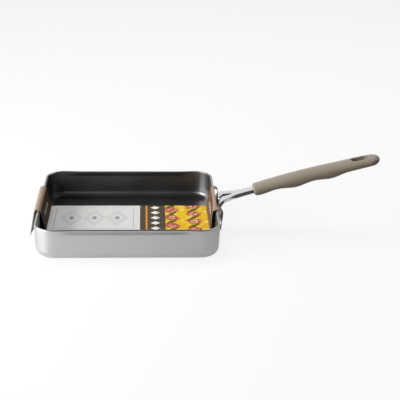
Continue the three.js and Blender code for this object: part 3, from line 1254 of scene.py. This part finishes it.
@dataclass
class PanVessel:
    """The pressed pan, its lining and the plate in its base."""

    shape: WallShape
    rivets: RivetPair
    plate_half: float
    plate_corner: float = 7.5 * MM
    plate_thickness: float = 0.8 * MM
    plate_edge: float = 0.15 * MM
    level_border: float = 2 * MM
    corner_steps: int = 22
    side_steps: int = 16

    def square_turned(self, profile: Profile) -> BMesh:
        """Leads a profile of distance and height round a rounded square.

        Args:
            profile: Points of distance from the axis and height.

        Returns:
            A mesh that is open at the two ends of the profile.
        """
        centre = self.shape.corner_centre
        bm = bmesh.new()
        line = chain(bm, [(distance, centre, height) for distance, height in profile])
        row = [item for item in line if isinstance(item, BMEdge)]
        last = bmesh.ops.spin(bm, geom=line, cent=(centre, centre, 0), axis=(0, 0, 1), angle=math.pi / 2,
                              steps=self.corner_steps)["geom_last"]
        last_row = [item for item in last if isinstance(item, BMEdge)]
        step = centre / self.side_steps
        for edges, shift in ((row, (0, -step, 0)), (last_row, (-step, 0, 0))):
            for _ in range(self.side_steps):
                verts, edges = extrude_row(bm, edges)
                bmesh.ops.translate(bm, verts=verts, vec=shift)
        for axis in "XY":
            bmesh.ops.mirror(bm, geom=bm.verts[:] + bm.edges[:] + bm.faces[:], axis=axis, merge_dist=TINY)
        bmesh.ops.remove_doubles(bm, verts=bm.verts, dist=TINY)
        self.shape.draw_in(bm)
        return bm

    def open_edges(self, bm: BMesh, height: float) -> list[BMEdge]:
        """The open edges at one height."""
        return [e for e in bm.edges if e.is_boundary and all(abs(v.co.z - height) < TINY for v in e.verts)]

    def close_level(self, bm: BMesh, height: float) -> None:
        """Fills an open end with a level face that has a narrow border."""
        made = bmesh.ops.edgeloop_fill(bm, edges=self.open_edges(bm, height))["faces"]
        bmesh.ops.inset_region(bm, faces=made, thickness=self.level_border, use_even_offset=True)

    def sink_recess(self, bm: BMesh) -> None:
        """Closes the base round a flat recess for the plate.

        Args:
            bm: The pan's mesh, open at the base.
        """
        half = self.plate_half + self.shape.seat
        made = bmesh.ops.create_grid(bm, x_segments=1, y_segments=1, size=half)["verts"]
        rounded = bmesh.ops.bevel(bm, geom=made, offset=self.plate_corner, offset_type="OFFSET",
                                  affect="VERTICES", segments=10, profile=0.5, material=-1)
        recess = max(rounded["verts"][0].link_faces, key=lambda face: face.calc_area())
        raised = bmesh.ops.extrude_face_region(bm, geom=[recess])["geom"]
        bmesh.ops.delete(bm, geom=[recess], context="FACES_ONLY")
        rise = self.plate_thickness + self.shape.seat
        bmesh.ops.translate(bm, verts=[v for v in raised if isinstance(v, BMVert)], vec=(0, 0, rise))
        bmesh.ops.triangle_fill(bm, edges=self.open_edges(bm, 0.0), use_beauty=True, normal=(0, 0, -1))

    def pressed_pan(self) -> Object:
        """The pan itself, with its brushed outside.

        Returns:
            The piece.
        """
        shape = self.shape
        bm = self.square_turned(
            shape.bottom_edge(0.0, 0.0, shape.base_radius) + shape.upper_wall(0.0) + shape.rim()
            + shape.upper_wall(shape.wall)[::-1]
            + shape.bottom_edge(shape.floor, shape.wall, shape.inner_radius)[::-1])
        self.close_level(bm, shape.floor)
        self.sink_recess(bm)
        bm = carve(clean(bm), *self.rivets.bores())
        crest = shape.height - shape.rim_radius
        finish = BrushedMetal("brushed_aluminium", "#CBCBCB", "#C1C1C1", 0.40,
                              stretch=0.65, crest=crest).material()
        return dress("pressed_pan", bm, "pan_body", Body.PAN, Slot.ALUMINIUM, finish)

    def lining(self) -> Object:
        """The dark coat on the inside, up to the rim's inner edge.

        Returns:
            The piece.
        """
        shape = self.shape
        level = shape.floor + shape.seat
        radius = shape.inner_radius - shape.seat
        bm = self.square_turned(
            shape.bottom_edge(level, shape.coat_back, radius) + shape.upper_wall(shape.coat_back)
            + shape.lip(shape.lip_gap) + shape.lip(shape.lip_coat)[::-1]
            + shape.upper_wall(shape.coat_face)[::-1]
            + shape.bottom_edge(level + shape.coat, shape.coat_face, radius - shape.coat)[::-1])
        self.close_level(bm, level)
        self.close_level(bm, level + shape.coat)
        bm = carve(clean(bm), *self.rivets.bores())
        return dress("cooking_surface", bm, "nonstick_lining", Body.PAN, Slot.COAT, NonstickCoat().material())

    def base_plate(self) -> Object:
        """The flush steel plate in the base.

        Returns:
            The piece.
        """
        bm = rounded_plate(self.plate_half, self.plate_half, self.plate_corner, 0.0, self.plate_thickness)
        edges = [e for e in bm.edges if e.calc_face_angle(0.0) > math.radians(60)]
        bmesh.ops.bevel(bm, geom=edges, offset=self.plate_edge, offset_type="OFFSET", affect="EDGES",
                        segments=2, profile=0.5, material=-1)
        return dress("base_inlay", bm, "base_plate", Body.PAN, Slot.BASE, InlaidSteel().material())

    def build(self) -> list[Object]:
        """Makes the pan, the lining and the plate."""
        return [self.pressed_pan(), self.lining(), self.base_plate()]


# The handle


@dataclass
class StrapBracket:
    """The steel strap that is riveted to the wall, bends outwards and ends in a tang inside the grip."""

    shape: WallShape
    rivets: RivetPair
    thickness: float = 3.6 * MM
    width: float = 18 * MM
    foot_width: float = 46 * MM
    foot_corner: float = 7 * MM
    foot_margin: float = 4 * MM
    flare: float = 42 * MM
    wall_gap: float = 0.3 * MM
    bend_drop: float = 6.9 * MM
    bend_radius: float = 9.5 * MM
    rise: float = math.radians(15)
    arm: float = 34.5 * MM
    shoulder: float = 4 * MM
    shoulder_end: float = 6 * MM
    tang_width: float = 10 * MM
    tang: float = 60 * MM
    crown_radius: float = 3.3 * MM
    crown_from: float = 5 * MM
    crown_to: float = 15 * MM
    edge_radius: float = 0.25 * MM
    dart_half: float = 2.6 * MM
    dart_depth: float = 1.8 * MM
    dart_run: float = 13 * MM
    dart_drop: float = 9 * MM
    dart_steps: int = 8
    edge_steps: int = 6
    row_step: float = 1 * MM

    @property
    def direction(self) -> Vector:
        """The way the handle points."""
        return Vector((math.cos(self.rise), 0.0, math.sin(self.rise)))

    @property
    def depth(self) -> float:
        """How far outside the wall the strap's middle lies."""
        return self.wall_gap + self.thickness / 2

    @property
    def bend_start(self) -> Vector:
        """Where the strap leaves the wall."""
        height = self.shape.height - self.bend_drop
        return Vector((self.shape.at(height, -self.depth), 0.0, height))

    @property
    def bend_corner(self) -> Corner:
        """Where the strap's two straight lines would meet.

        Returns:
            The corner, with its radius.
        """
        tilt = self.shape.tilt
        reach = self.bend_radius * math.tan(self.turn / 2)
        point = self.bend_start + reach * Vector((math.sin(tilt), 0.0, math.cos(tilt)))
        return Corner(point.x, point.z, self.bend_radius)

    @property
    def neck(self) -> Vector:
        """Where the strap enters the grip."""
        corner = self.bend_corner.point
        return corner + ((corner - self.bend_start).length + self.arm) * self.direction

    @property
    def matrix(self) -> Matrix:
        """The handle's frame: its origin at the neck, its X axis along the handle."""
        return Matrix.Translation(self.neck) @ Matrix.Rotation(-self.rise, 4, "Y")

    @property
    def foot_low(self) -> float:
        """Height of the foot's lower edge."""
        return self.rivets.height - self.rivets.head_radius - self.foot_margin

    @property
    def wall_run(self) -> float:
        """Length of the strap on the wall, up to the bend."""
        return (self.bend_start.z - self.foot_low) / math.cos(self.shape.tilt)

    @property
    def turn(self) -> float:
        """How far the strap turns at its bend."""
        return math.pi / 2 - self.shape.tilt - self.rise

    def turned_by(self, run: float) -> float:
        """How far the strap has turned at a distance from the foot's lower edge."""
        return min(max((run - self.wall_run) / self.bend_radius, 0.0), self.turn)

    def beyond_bend(self, run: float) -> float:
        """How far past the bend a distance from the foot's lower edge reaches."""
        return max(run - self.wall_run - self.bend_radius * self.turn, 0.0)

    def half_width(self, run: float) -> float:
        """Half the strap's width at a distance from the foot's lower edge.

        Args:
            run: The distance.

        Returns:
            Half the width.
        """
        foot, strap, tang = self.foot_width / 2, self.width / 2, self.tang_width / 2
        if run < self.foot_corner:
            left = self.foot_corner - run
            return foot - self.foot_corner + math.sqrt(self.foot_corner ** 2 - left ** 2)
        beyond = self.beyond_bend(run)
        along = self.bend_radius * (math.sin(self.turn) - math.sin(self.turn - self.turned_by(run))) + beyond
        share = min((math.sqrt(1 + 8 * along / self.flare) - 1) / 2, 1.0)
        into_shoulder = (beyond - self.arm - self.shoulder) / (self.shoulder_end - self.shoulder)
        return strap + (foot - strap) * (1 - share) ** 2 + (tang - strap) * min(max(into_shoulder, 0.0), 1.0)

    def section(self, run: float) -> Profile:
        """The strap's section at a distance from the foot's lower edge.

        Args:
            run: The distance.

        Returns:
            Places across and above the strap's middle: a sharp edge at the root, a rolled one along the arm,
            and the dart that stiffens the bend.
        """
        half, thick, edge = self.half_width(run), self.thickness / 2, self.edge_radius
        beyond = self.beyond_bend(run)
        rolled = smooth_step(beyond, self.crown_from, self.crown_to)
        rolled *= 1 - smooth_step(beyond, self.arm + self.shoulder / 2, self.arm + self.shoulder)
        crown = edge + (self.crown_radius - edge) * rolled
        right = (arc((half - edge, edge - thick), edge, -math.pi / 2, 0.0, self.edge_steps)
                 + arc((half - crown, thick - crown), crown, 0.0, math.pi / 2, self.edge_steps))
        depth = self.dart_depth * (1 - smooth_step(beyond, 0.0, self.dart_run))
        depth *= smooth_step(run, self.wall_run - self.dart_drop, self.wall_run)
        dart = []
        for step in range(self.dart_steps + 1):
            aside = 1 - 2 * step / self.dart_steps
            dart.append((self.dart_half * aside, -depth * (1 + math.cos(math.pi * aside)) / 2))
        top = [(y, thick + dip) for y, dip in dart]
        bottom = [(y, dip - thick) for y, dip in reversed(dart)]
        return right + top + [(-y, left) for y, left in reversed(right)] + bottom

    def strap(self) -> BMesh:
        """The strap as a solid with worked edges.

        Returns:
            The solid.
        """
        foot = Corner(self.shape.at(self.foot_low, -self.depth), self.foot_low)
        end = self.neck + self.tang * self.direction
        tip = Corner(end.x, end.z)
        first = self.section(0.0)
        ribbon = Ribbon(first, foot, self.bend_corner, self.row_step, closed=True)
        ribbon.round(self.bend_corner, tip)
        ribbon.straight((tip.point - ribbon.place).length)
        for vert in ribbon.bm.verts:
            run, station = vert[ribbon.run_layer], vert[ribbon.station_layer]
            heading = math.pi / 2 - self.shape.tilt - self.turned_by(run)
            left = Vector((-math.sin(heading), 0.0, math.cos(heading)))
            (y, lift), (first_y, first_lift) = self.section(run)[station], first[station]
            vert.co += left * (lift - first_lift) + Vector((0.0, y - first_y, 0.0))
        return ribbon.capped()

    def build(self, screw_bore: BMesh) -> Object:
        """Makes the bracket.

        Args:
            screw_bore: The rod that cuts the screw's hole in the tang.

        Returns:
            The piece.
        """
        bm = carve(self.strap(), *self.rivets.bores(), screw_bore)
        finish = PolishedSteel().material()
        return dress("steel_bracket", bm, "handle_bracket", Body.PAN, Slot.STEEL, finish)


@dataclass
class MouldedGrip:
    """The grip, in the handle's frame, with the screw that holds it from below."""

    bracket: StrapBracket
    length: float = 148 * MM
    neck_width: float = 22 * MM
    belly_width: float = 25.5 * MM
    tail_width: float = 27 * MM
    belly_at: float = 46 * MM
    neck_crown: float = 6.4 * MM
    belly_crown: float = 8.2 * MM
    tail_crown: float = 5.9 * MM
    tip_crown: float = 4.4 * MM
    neck_depth: float = 7.2 * MM
    belly_depth: float = 8.6 * MM
    wave_depth: float = 2.8 * MM
    wave_pitch: float = 41.7 * MM
    first_ridge: float = 6.5 * MM
    wave_count: float = 2.5
    neck_radius: float = 3 * MM
    tip_plan: float = 11.5 * MM
    tip_side: float = 9 * MM
    hole_length: float = 20 * MM
    hole_width: float = 12 * MM
    hole_from_tip: float = 22.2 * MM
    clearance: float = 0.3 * MM
    screw_radius: float = 2 * MM
    screw_head: float = 4 * MM
    screw_head_height: float = 2 * MM
    screw_recess: float = 0.6 * MM
    screw_tip: float = 1.2 * MM
    slot_length: float = 5.2 * MM
    slot_width: float = 1.2 * MM
    slot_depth: float = 1.1 * MM
    screw_chamfer: float = 0.5 * MM
    sides: int = 64
    rings: int = 120
    voxel: float = 0.55 * MM
    softening: int = 8

    @property
    def hole_at(self) -> float:
        """Distance from the neck to the middle of the hang hole."""
        return self.length - self.hole_from_tip

    @property
    def screw_at(self) -> float:
        """Distance from the neck to the screw, in the first hollow."""
        return self.first_ridge + self.wave_pitch / 2

    def through(self, place: float, *sizes: float) -> float:
        """A smooth curve through one size at the neck, the belly, the hang hole and the tip.

        Args:
            place: From the neck.
            sizes: The size at each of the four.

        Returns:
            The size at the place.
        """
        places = (0.0, self.belly_at, self.hole_at, self.length)
        slopes = [(b - a) / (q - p) for a, b, p, q in zip(sizes, sizes[1:], places, places[1:])]
        tangents = [slopes[0], (slopes[0] + slopes[1]) / 2, (slopes[1] + slopes[2]) / 2, slopes[2]]
        part = sum(place > stop for stop in places[1:-1])
        reach = places[part + 1] - places[part]
        t = (place - places[part]) / reach
        start, end = sizes[part], sizes[part + 1]
        lead, trail = tangents[part] * reach, tangents[part + 1] * reach
        rising = t * t * (3 - 2 * t)
        return start + (end - start) * rising + lead * t * (1 - t) ** 2 - trail * t * t * (1 - t)

    def depth(self, place: float) -> float:
        """How far the underside lies below the strap's middle, with ridges and then a straight run.

        Args:
            place: From the neck.

        Returns:
            The depth.
        """
        ridge = self.through(place, self.neck_depth, self.belly_depth, self.belly_depth, self.belly_depth)
        cycles = min((place - self.first_ridge) / self.wave_pitch, self.wave_count)
        return ridge - self.wave_depth * (1 - math.cos(math.tau * cycles)) / 2

    def section_point(self, point: Vector) -> Vector:
        """Moves a point of a unit tube along Z onto the grip, in the handle's frame.

        Args:
            point: Of the tube.

        Returns:
            The place on the grip.
        """
        up, side, place = point
        before = max(0.0, 1 - place / self.neck_radius)
        taken = self.neck_radius * (1 - math.sqrt(1 - before ** 2))
        widths = (self.neck_width, self.belly_width, self.tail_width, self.tail_width)
        half = self.through(place, *widths) / 2 - taken
        crown = self.through(place, self.neck_crown, self.belly_crown, self.tail_crown, self.tip_crown)
        reach = (crown if up > 0 else self.depth(place)) - taken
        plan, tall = (
            math.sqrt(max(0.0, 1 - max(0.0, 1 - (self.length - place) / run) ** 2))
            for run in (self.tip_plan, self.tip_side)
        )
        return Vector((place, half * plan * side, reach * tall * up))

    def form(self) -> BMesh:
        """The grip's outside, as a closed tube of sections.

        Returns:
            The mesh.
        """
        bm = bmesh.new()
        bmesh.ops.create_circle(bm, cap_ends=True, radius=1.0, segments=self.sides)
        row = bm.edges[:]
        turns = [math.pi * ring / self.rings for ring in range(self.rings + 1)]
        places = [self.length * (1 - math.cos(turn)) / 2 for turn in turns]
        for here, beyond in zip(places, places[1:]):
            verts, row = extrude_row(bm, row)
            bmesh.ops.translate(bm, verts=verts, vec=(0, 0, beyond - here))
        for vert in bm.verts:
            vert.co = self.section_point(vert.co)
        return clean(bm)

    def rod(self, radius: float, low: float, high: float) -> BMesh:
        """A rod on the screw's axis, in the handle's frame.

        Args:
            radius: Of the rod.
            low: Its lower end.
            high: Its upper end.

        Returns:
            The rod.
        """
        bm = bmesh.new()
        bmesh.ops.create_cone(bm, cap_ends=True, segments=32, radius1=radius, radius2=radius,
                              depth=high - low)
        return moved(bm, Matrix.Translation((self.screw_at, 0.0, (low + high) / 2)))

    @property
    def head_low(self) -> float:
        """Height of the screw head's face, in the handle's frame."""
        return self.screw_recess - self.depth(self.screw_at)

    def screw_bore(self) -> BMesh:
        """The rod that cuts the screw's hole in the tang."""
        reach = 2 * self.bracket.thickness
        return moved(self.rod(self.screw_radius + self.clearance, -reach, reach), self.bracket.matrix)

    def sockets(self) -> list[BMesh]:
        """What is cut out of the grip for the strap, the tang and the screw.

        Returns:
            The shapes to cut out.
        """
        strap, gap = self.bracket, self.clearance
        half = strap.thickness / 2 + gap
        tools = []
        # The tang's socket is a little lower than the strap's, so that no two of their faces share a plane.
        for start, end, width, tall in (
            (-strap.thickness, strap.shoulder_end + gap, strap.width, half),
            (0.0, strap.tang + gap, strap.tang_width, half - gap / 10),
        ):
            bm = bmesh.new()
            bmesh.ops.create_cube(bm, size=1.0)
            bmesh.ops.scale(bm, vec=(end - start, width + 2 * gap, 2 * tall), verts=bm.verts)
            tools.append(moved(bm, Matrix.Translation(((start + end) / 2, 0.0, 0.0))))
        low = -2 * self.belly_depth
        tools.append(self.rod(self.screw_radius + gap, low, strap.thickness / 2 + self.screw_tip + gap))
        tools.append(self.rod(self.screw_head + gap, low, self.head_low + self.screw_head_height + gap))
        return tools

    def grip(self) -> Object:
        """The moulded grip, with soft edges round its hang hole.

        Returns:
            The piece.
        """
        hole = rounded_plate(self.hole_length / 2, self.hole_width / 2, 0.499 * self.hole_width,
                             -2 * self.belly_depth, 2 * self.belly_crown, steps=16)
        bm = carve(self.form(), moved(hole, Matrix.Translation((self.hole_at, 0.0, 0.0))))
        bm = with_modifier(bm, "REMESH", mode="VOXEL", voxel_size=self.voxel)
        for _ in range(self.softening):
            bmesh.ops.smooth_vert(bm, verts=bm.verts, factor=0.5,
                                  use_axis_x=True, use_axis_y=True, use_axis_z=True)
        bm = moved(carve(bm, *self.sockets()), self.bracket.matrix)
        return dress("moulded_grip", bm, "grip", Body.PAN, Slot.GRIP, SoftGrip().material(), crease=50.0)

    def screw(self) -> Object:
        """The cross-headed screw under the grip.

        Returns:
            The piece.
        """
        low, seat = self.head_low, self.head_low + self.screw_head_height
        top = self.bracket.thickness / 2 + self.screw_tip
        chamfer, head, shank = self.screw_chamfer, self.screw_head, self.screw_radius
        bm = turned([
            (0.0, low), (head - chamfer, low), (head, low + chamfer), (head, seat),
            (shank, seat), (shank, top - chamfer), (shank - chamfer, top), (0.0, top),
        ])
        slots = []
        for size in ((self.slot_length, self.slot_width), (self.slot_width, self.slot_length)):
            slot = bmesh.new()
            bmesh.ops.create_cube(slot, size=1.0)
            bmesh.ops.scale(slot, vec=(*size, 2 * self.slot_depth), verts=slot.verts)
            slots.append(moved(slot, Matrix.Translation((0.0, 0.0, low))))
        bm = moved(carve(bm, *slots), self.bracket.matrix @ Matrix.Translation((self.screw_at, 0.0, 0.0)))
        steel = bpy.data.materials["polished_steel"]
        return dress("cross_screw", bm, "grip_screw", Body.PAN, Slot.STEEL, steel)

    def build(self) -> list[Object]:
        """Makes the grip and its screw."""
        return [self.grip(), self.screw()]


# The card


@dataclass
class CardSleeve:
    """The folded card that lies in the pan and hangs on two opposite rims."""

    UV_NAME = "print"

    shape: WallShape
    width: float
    slot_half: float
    thickness: float = 0.5 * MM
    rim_clearance: float = 0.35 * MM
    rim_seat: float = 0.3 * MM
    drop: float = 23.7 * MM
    far_inset: float = 5.6 * MM
    handle_inset: float = 5.3 * MM
    fold: float = 1.2 * MM
    far_flap: float = 27.5 * MM
    far_flare: float = 1.6 * MM
    far_curl: float = 3.6 * MM
    handle_flap: float = 21.5 * MM
    bow: float = 1.7 * MM
    bow_radius: float = 42 * MM
    bow_share: float = 0.42
    tab_spring: float = 2 * MM
    tab_twist: float = 3.7 * MM
    tab_out: float = 6 * MM
    tab_in: float = 7 * MM
    panel_spring: float = 2 * MM
    panel_in: float = 4 * MM
    station_pitch: float = 5 * MM
    row_step: float = 4 * MM

    @property
    def arch_radius(self) -> float:
        """Radius of the arch over a rim, at the middle of the card."""
        return self.shape.coat_face + self.rim_clearance + self.thickness / 2

    @property
    def arch_height(self) -> float:
        """Height of an arch's centre, with the arch resting on the rim's inner edge.

        Returns:
            The height.
        """
        shape = self.shape
        inside = self.arch_radius - self.thickness / 2 - shape.rim_radius - self.rim_seat
        aside = shape.wall - shape.rim_radius
        return shape.height - shape.rim_radius - math.sqrt(inside ** 2 - aside ** 2)

    def line(self) -> list[Corner]:
        """The card's middle line, from the foot of the far flap to the foot of the handle's flap.

        Returns:
            The line's corners.
        """
        arch, radius, rim = self.arch_height, self.arch_radius, self.shape.half
        inside, outside, crown = rim - radius, rim + radius, arch + radius
        panel = self.shape.height - self.drop
        return [
            Corner(-outside - self.far_flare, arch - self.far_flap),
            Corner(-outside, crown, radius),
            Corner(-inside, crown, radius),
            Corner(-inside + self.far_inset, panel, self.fold),
            Corner(inside - self.handle_inset, panel, self.fold),
            Corner(inside, crown, radius),
            Corner(outside, crown, radius),
            Corner(outside + self.bow, arch - self.bow_share * self.handle_flap, self.bow_radius),
            Corner(outside, arch - self.handle_flap),
        ]

    def spring(self, bm: BMesh) -> None:
        """Lets the near corners stand off a little, as on a card that was folded by hand.

        Args:
            bm: The card's mesh.
        """
        rim, arch, crown = self.shape.half, self.arch_height, self.arch_height + self.arch_radius
        for vert in bm.verts:
            near = smooth_step(-vert.co.y, 0.0, self.width / 2)
            below = crown - vert.co.z
            if vert.co.x < -rim:
                vert.co.x -= self.far_curl * near * max(arch - vert.co.z, 0.0) / self.far_flap
            elif vert.co.x > rim and near > 0:
                out = smooth_step(below, 0.0, self.tab_out)
                out *= 1 - smooth_step(below, self.tab_in, self.handle_flap)
                across = (-vert.co.y - self.slot_half) / (self.width / 2 - self.slot_half)
                vert.co.x += (self.tab_spring - self.tab_twist * across) * out
            elif vert.co.x > rim - 3 * self.arch_radius:
                top = min((rim - vert.co.x) / self.arch_radius, 1.0)
                fading = 1 - smooth_step(below, self.panel_in, self.drop)
                vert.co.x -= self.panel_spring * near * top * fading

    def build(self) -> Object:
        """Makes the card, with its print, its grey reverse and its cut edges.

        Returns:
            The piece.
        """
        count = round(self.width / self.station_pitch)
        stations = [(self.width * (station / count - 0.5), 0.0) for station in range(count + 1)]
        line = self.line()
        ribbon = Ribbon(stations, line[0], line[1], self.row_step)
        marks = []
        for here, beyond in zip(line[1:], line[2:]):
            marks.append(ribbon.round(here, beyond))
            if here.x == self.shape.half - self.arch_radius:
                ribbon.keep(lambda y: abs(y) > self.slot_half)
        ribbon.straight((line[-1].point - ribbon.place).length)
        bm = ribbon.faced()
        self.spring(bm)
        uv = bm.loops.layers.uv.new(self.UV_NAME)
        for face in bm.faces:
            for loop in face.loops:
                loop[uv].uv = (loop.vert[ribbon.run_layer], loop.vert.co.y)
        bm = with_modifier(bm, "SOLIDIFY", slots=3, thickness=self.thickness, offset=0.0,
                           use_even_offset=True, material_offset=1, material_offset_rim=2)
        zones = CardZones(marks[1] + self.fold, marks[2], marks[3], marks[4] - self.fold)
        return dress("folded_card", bm, "card_sleeve", Body.SLEEVE, Slot.CARD,
                     PrintedCard(zones).material(),
                     PlainBoard("card_reverse", Ink.BOARD, Ink.BOARD_DARK).material(),
                     PlainBoard("card_edge", Ink.CUT, Ink.KRAFT).material(), crease=60.0)


# The studio


@dataclass(frozen=True)
class Softbox:
    """A flat lamp that faces the pan."""

    name: str
    place: tuple[float, float, float]
    width: float
    height: float
    radiance: float
    target: tuple[float, float, float] = (0.0, 0.0, 0.04)
    mirrored: bool = True

    def hang(self) -> None:
        """Adds the lamp, with the power that gives its face this radiance."""
        lamp = bpy.data.lights.new(self.name, "AREA")
        lamp.shape = "RECTANGLE"
        lamp.size = self.width
        lamp.size_y = self.height
        lamp.energy = self.radiance * math.pi * self.width * self.height
        holder = bpy.data.objects.new(self.name, lamp)
        away = Vector(self.target) - Vector(self.place)
        aim = away.to_track_quat("-Z", "Y").to_matrix().to_4x4()
        holder.matrix_world = Matrix.Translation(self.place) @ aim
        holder.visible_glossy = self.mirrored
        bpy.context.scene.collection.objects.link(holder)


@dataclass
class Studio:
    """A white sweep, soft lamps and the camera."""

    camera_place: tuple[float, float, float] = (18.7 * MM, -1206.6 * MM, 471.0 * MM)
    yaw: float = math.radians(2.99)
    pitch: float = math.radians(19.94)
    roll: float = math.radians(1.0)
    focal_pixels: float = 1124.1
    picture_pixels: float = 400.0
    sensor: float = 36.0
    floor_front: float = 6.0
    floor_back: float = 2.6
    floor_left: float = 6.0
    floor_right: float = 6.0
    floor_drop: float = 0.2 * MM
    sweep_radius: float = 0.8
    sweep_height: float = 1.8
    white_seen: float = 0.85
    white_floor: float = 0.55
    white_back: float = 0.85
    back_from: float = 0.3
    back_to: float = 1.2
    # Across X, where the paper seen in mirrors is darkened as painted shade, and how much of its white is
    # kept.
    mirror_shade_from: float = 0.0
    mirror_shade_to: float = 0.2
    mirror_shade_share: float = 0.55
    paper_seen: float = 0.92
    paper_bounce: float = 0.22
    world_level: float = 0.08
    lamps: tuple[Softbox, ...] = (
        Softbox("key_softbox", (-0.74, -0.2, 0.31), 0.8, 0.34, 11.5),
        Softbox("front_softbox", (-0.58, -1.3, 0.46), 0.75, 0.2, 4.6),
        Softbox("right_softbox", (0.7, 0.7, 1.2), 0.8, 0.8, 2.0),
        Softbox("top_silk", (-0.4, 0.55, 1.5), 1.2, 1.0, 3.3, mirrored=False),
    )

    def sweep_material(self) -> Material:
        """White paper that the camera and mirrors see as white, and that still takes a shadow; to the right
        of the pan, mirrors see it with a painted shade.

        Returns:
            The material.
        """
        bench = ShaderBench("white_sweep", 1.0, specular=0.0)
        nodes, links = bench.tree.nodes, bench.tree.links
        path = nodes.new("ShaderNodeLightPath")
        mirrored = bench.math("MAXIMUM", path.outputs["Is Glossy Ray"], path.outputs["Is Transmission Ray"])
        # Painted shade: right of the pan's middle, mirrored rays see the paper greyer and less white.
        side, depth, _ = bench.split(bench.place())
        painted_shade = bench.span(side, self.mirror_shade_from, self.mirror_shade_to, 1.0, self.mirror_shade_share)
        mirrored = bench.product(mirrored, painted_shade)
        seen = bench.math("MAXIMUM", path.outputs["Is Camera Ray"], mirrored)
        level = bench.span(depth, self.back_from, self.back_to, self.white_floor, self.white_back)
        share = bench.math("MAXIMUM", bench.product(path.outputs["Is Camera Ray"], self.white_seen),
                           bench.product(mirrored, level))
        grey, pale = ((shade, shade, shade, 1.0) for shade in (self.paper_bounce, self.paper_seen))
        bench.paint("Base Color", bench.mix(seen, grey, pale))
        white = nodes.new("ShaderNodeEmission")
        mix = nodes.new("ShaderNodeMixShader")
        links.new(share, mix.inputs[0])
        links.new(bench.shader.outputs[0], mix.inputs[1])
        links.new(white.outputs[0], mix.inputs[2])
        links.new(mix.outputs[0], nodes["Material Output"].inputs["Surface"])
        return bench.material

    def lay_sweep(self) -> None:
        """Lays the floor and leads it up behind the pan."""
        line = [Corner(-self.floor_front, -self.floor_drop),
                Corner(self.floor_back, -self.floor_drop, self.sweep_radius),
                Corner(self.floor_back, self.sweep_height)]
        edges = [(-self.floor_right, 0.0), (self.floor_left, 0.0)]
        ribbon = Ribbon(edges, line[0], line[1], step=self.floor_front)
        ribbon.round(line[1], line[2])
        ribbon.straight((line[2].point - ribbon.place).length)
        bm = moved(ribbon.faced(), Matrix.Rotation(math.pi / 2, 4, "Z"))
        mesh = bpy.data.meshes.new("sweep")
        bm.to_mesh(mesh)
        bm.free()
        mesh.shade_smooth()
        mesh.materials.append(self.sweep_material())
        sweep = bpy.data.objects.new("sweep", mesh)
        bpy.context.scene.collection.objects.link(sweep)

    def light(self) -> None:
        """Hangs the lamps and sets the room round them, dim but for the camera, which sees it white."""
        for lamp in self.lamps:
            lamp.hang()
        world = bpy.data.worlds.new("room")
        world.use_nodes = True
        nodes, links = world.node_tree.nodes, world.node_tree.links
        path = nodes.new("ShaderNodeLightPath")
        level = nodes.new("ShaderNodeMapRange")
        level.inputs["To Min"].default_value = self.world_level
        level.inputs["To Max"].default_value = self.white_seen
        links.new(path.outputs["Is Camera Ray"], level.inputs["Value"])
        links.new(level.outputs["Result"], nodes["Background"].inputs["Strength"])
        nodes["Background"].inputs["Color"].default_value = (1.0, 1.0, 1.0, 1.0)
        bpy.context.scene.world = world
        bpy.context.scene.view_settings.view_transform = "Standard"

    def set_camera(self) -> None:
        """Sets the camera as it stood for the photograph."""
        ahead = Vector((math.sin(self.yaw) * math.cos(self.pitch), math.cos(self.yaw) * math.cos(self.pitch),
                        -math.sin(self.pitch)))
        level = Vector((math.cos(self.yaw), -math.sin(self.yaw), 0.0))
        above = level.cross(ahead)
        right = math.cos(self.roll) * level + math.sin(self.roll) * above
        up = math.cos(self.roll) * above - math.sin(self.roll) * level
        lens = bpy.data.cameras.new("camera")
        lens.sensor_width = self.sensor
        lens.lens = self.focal_pixels * self.sensor / self.picture_pixels
        holder = bpy.data.objects.new("camera", lens)
        turn = Matrix((right, up, -ahead)).transposed().to_4x4()
        holder.matrix_world = Matrix.Translation(self.camera_place) @ turn
        bpy.context.scene.collection.objects.link(holder)
        bpy.context.scene.camera = holder

    def build(self) -> None:
        """Sets up the whole studio."""
        self.lay_sweep()
        self.light()
        self.set_camera()


def main() -> None:
    """Builds the pan, its handle, the card and the studio."""
    logging.basicConfig(level=logging.INFO, format="%(message)s")
    pan_box, card_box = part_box("pan_body"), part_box("card_sleeve")
    shape = WallShape(half=pan_box[1].x, height=pan_box[1].z)
    rivets = RivetPair(shape)
    bracket = StrapBracket(shape, rivets)
    grip = MouldedGrip(bracket)
    slot_margin = 7 * MM
    slot_half = bracket.foot_width / 2 + slot_margin
    sleeve = CardSleeve(shape, width=card_box[1].y - card_box[0].y, slot_half=slot_half)
    pieces = PanVessel(shape, rivets, plate_half=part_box("base_plate")[1].x).build()
    pieces += [bracket.build(grip.screw_bore())] + rivets.build() + grip.build() + [sleeve.build()]
    Studio().build()
    LOG.info("%d pieces", len(pieces))


if __name__ == "__main__":
    main()
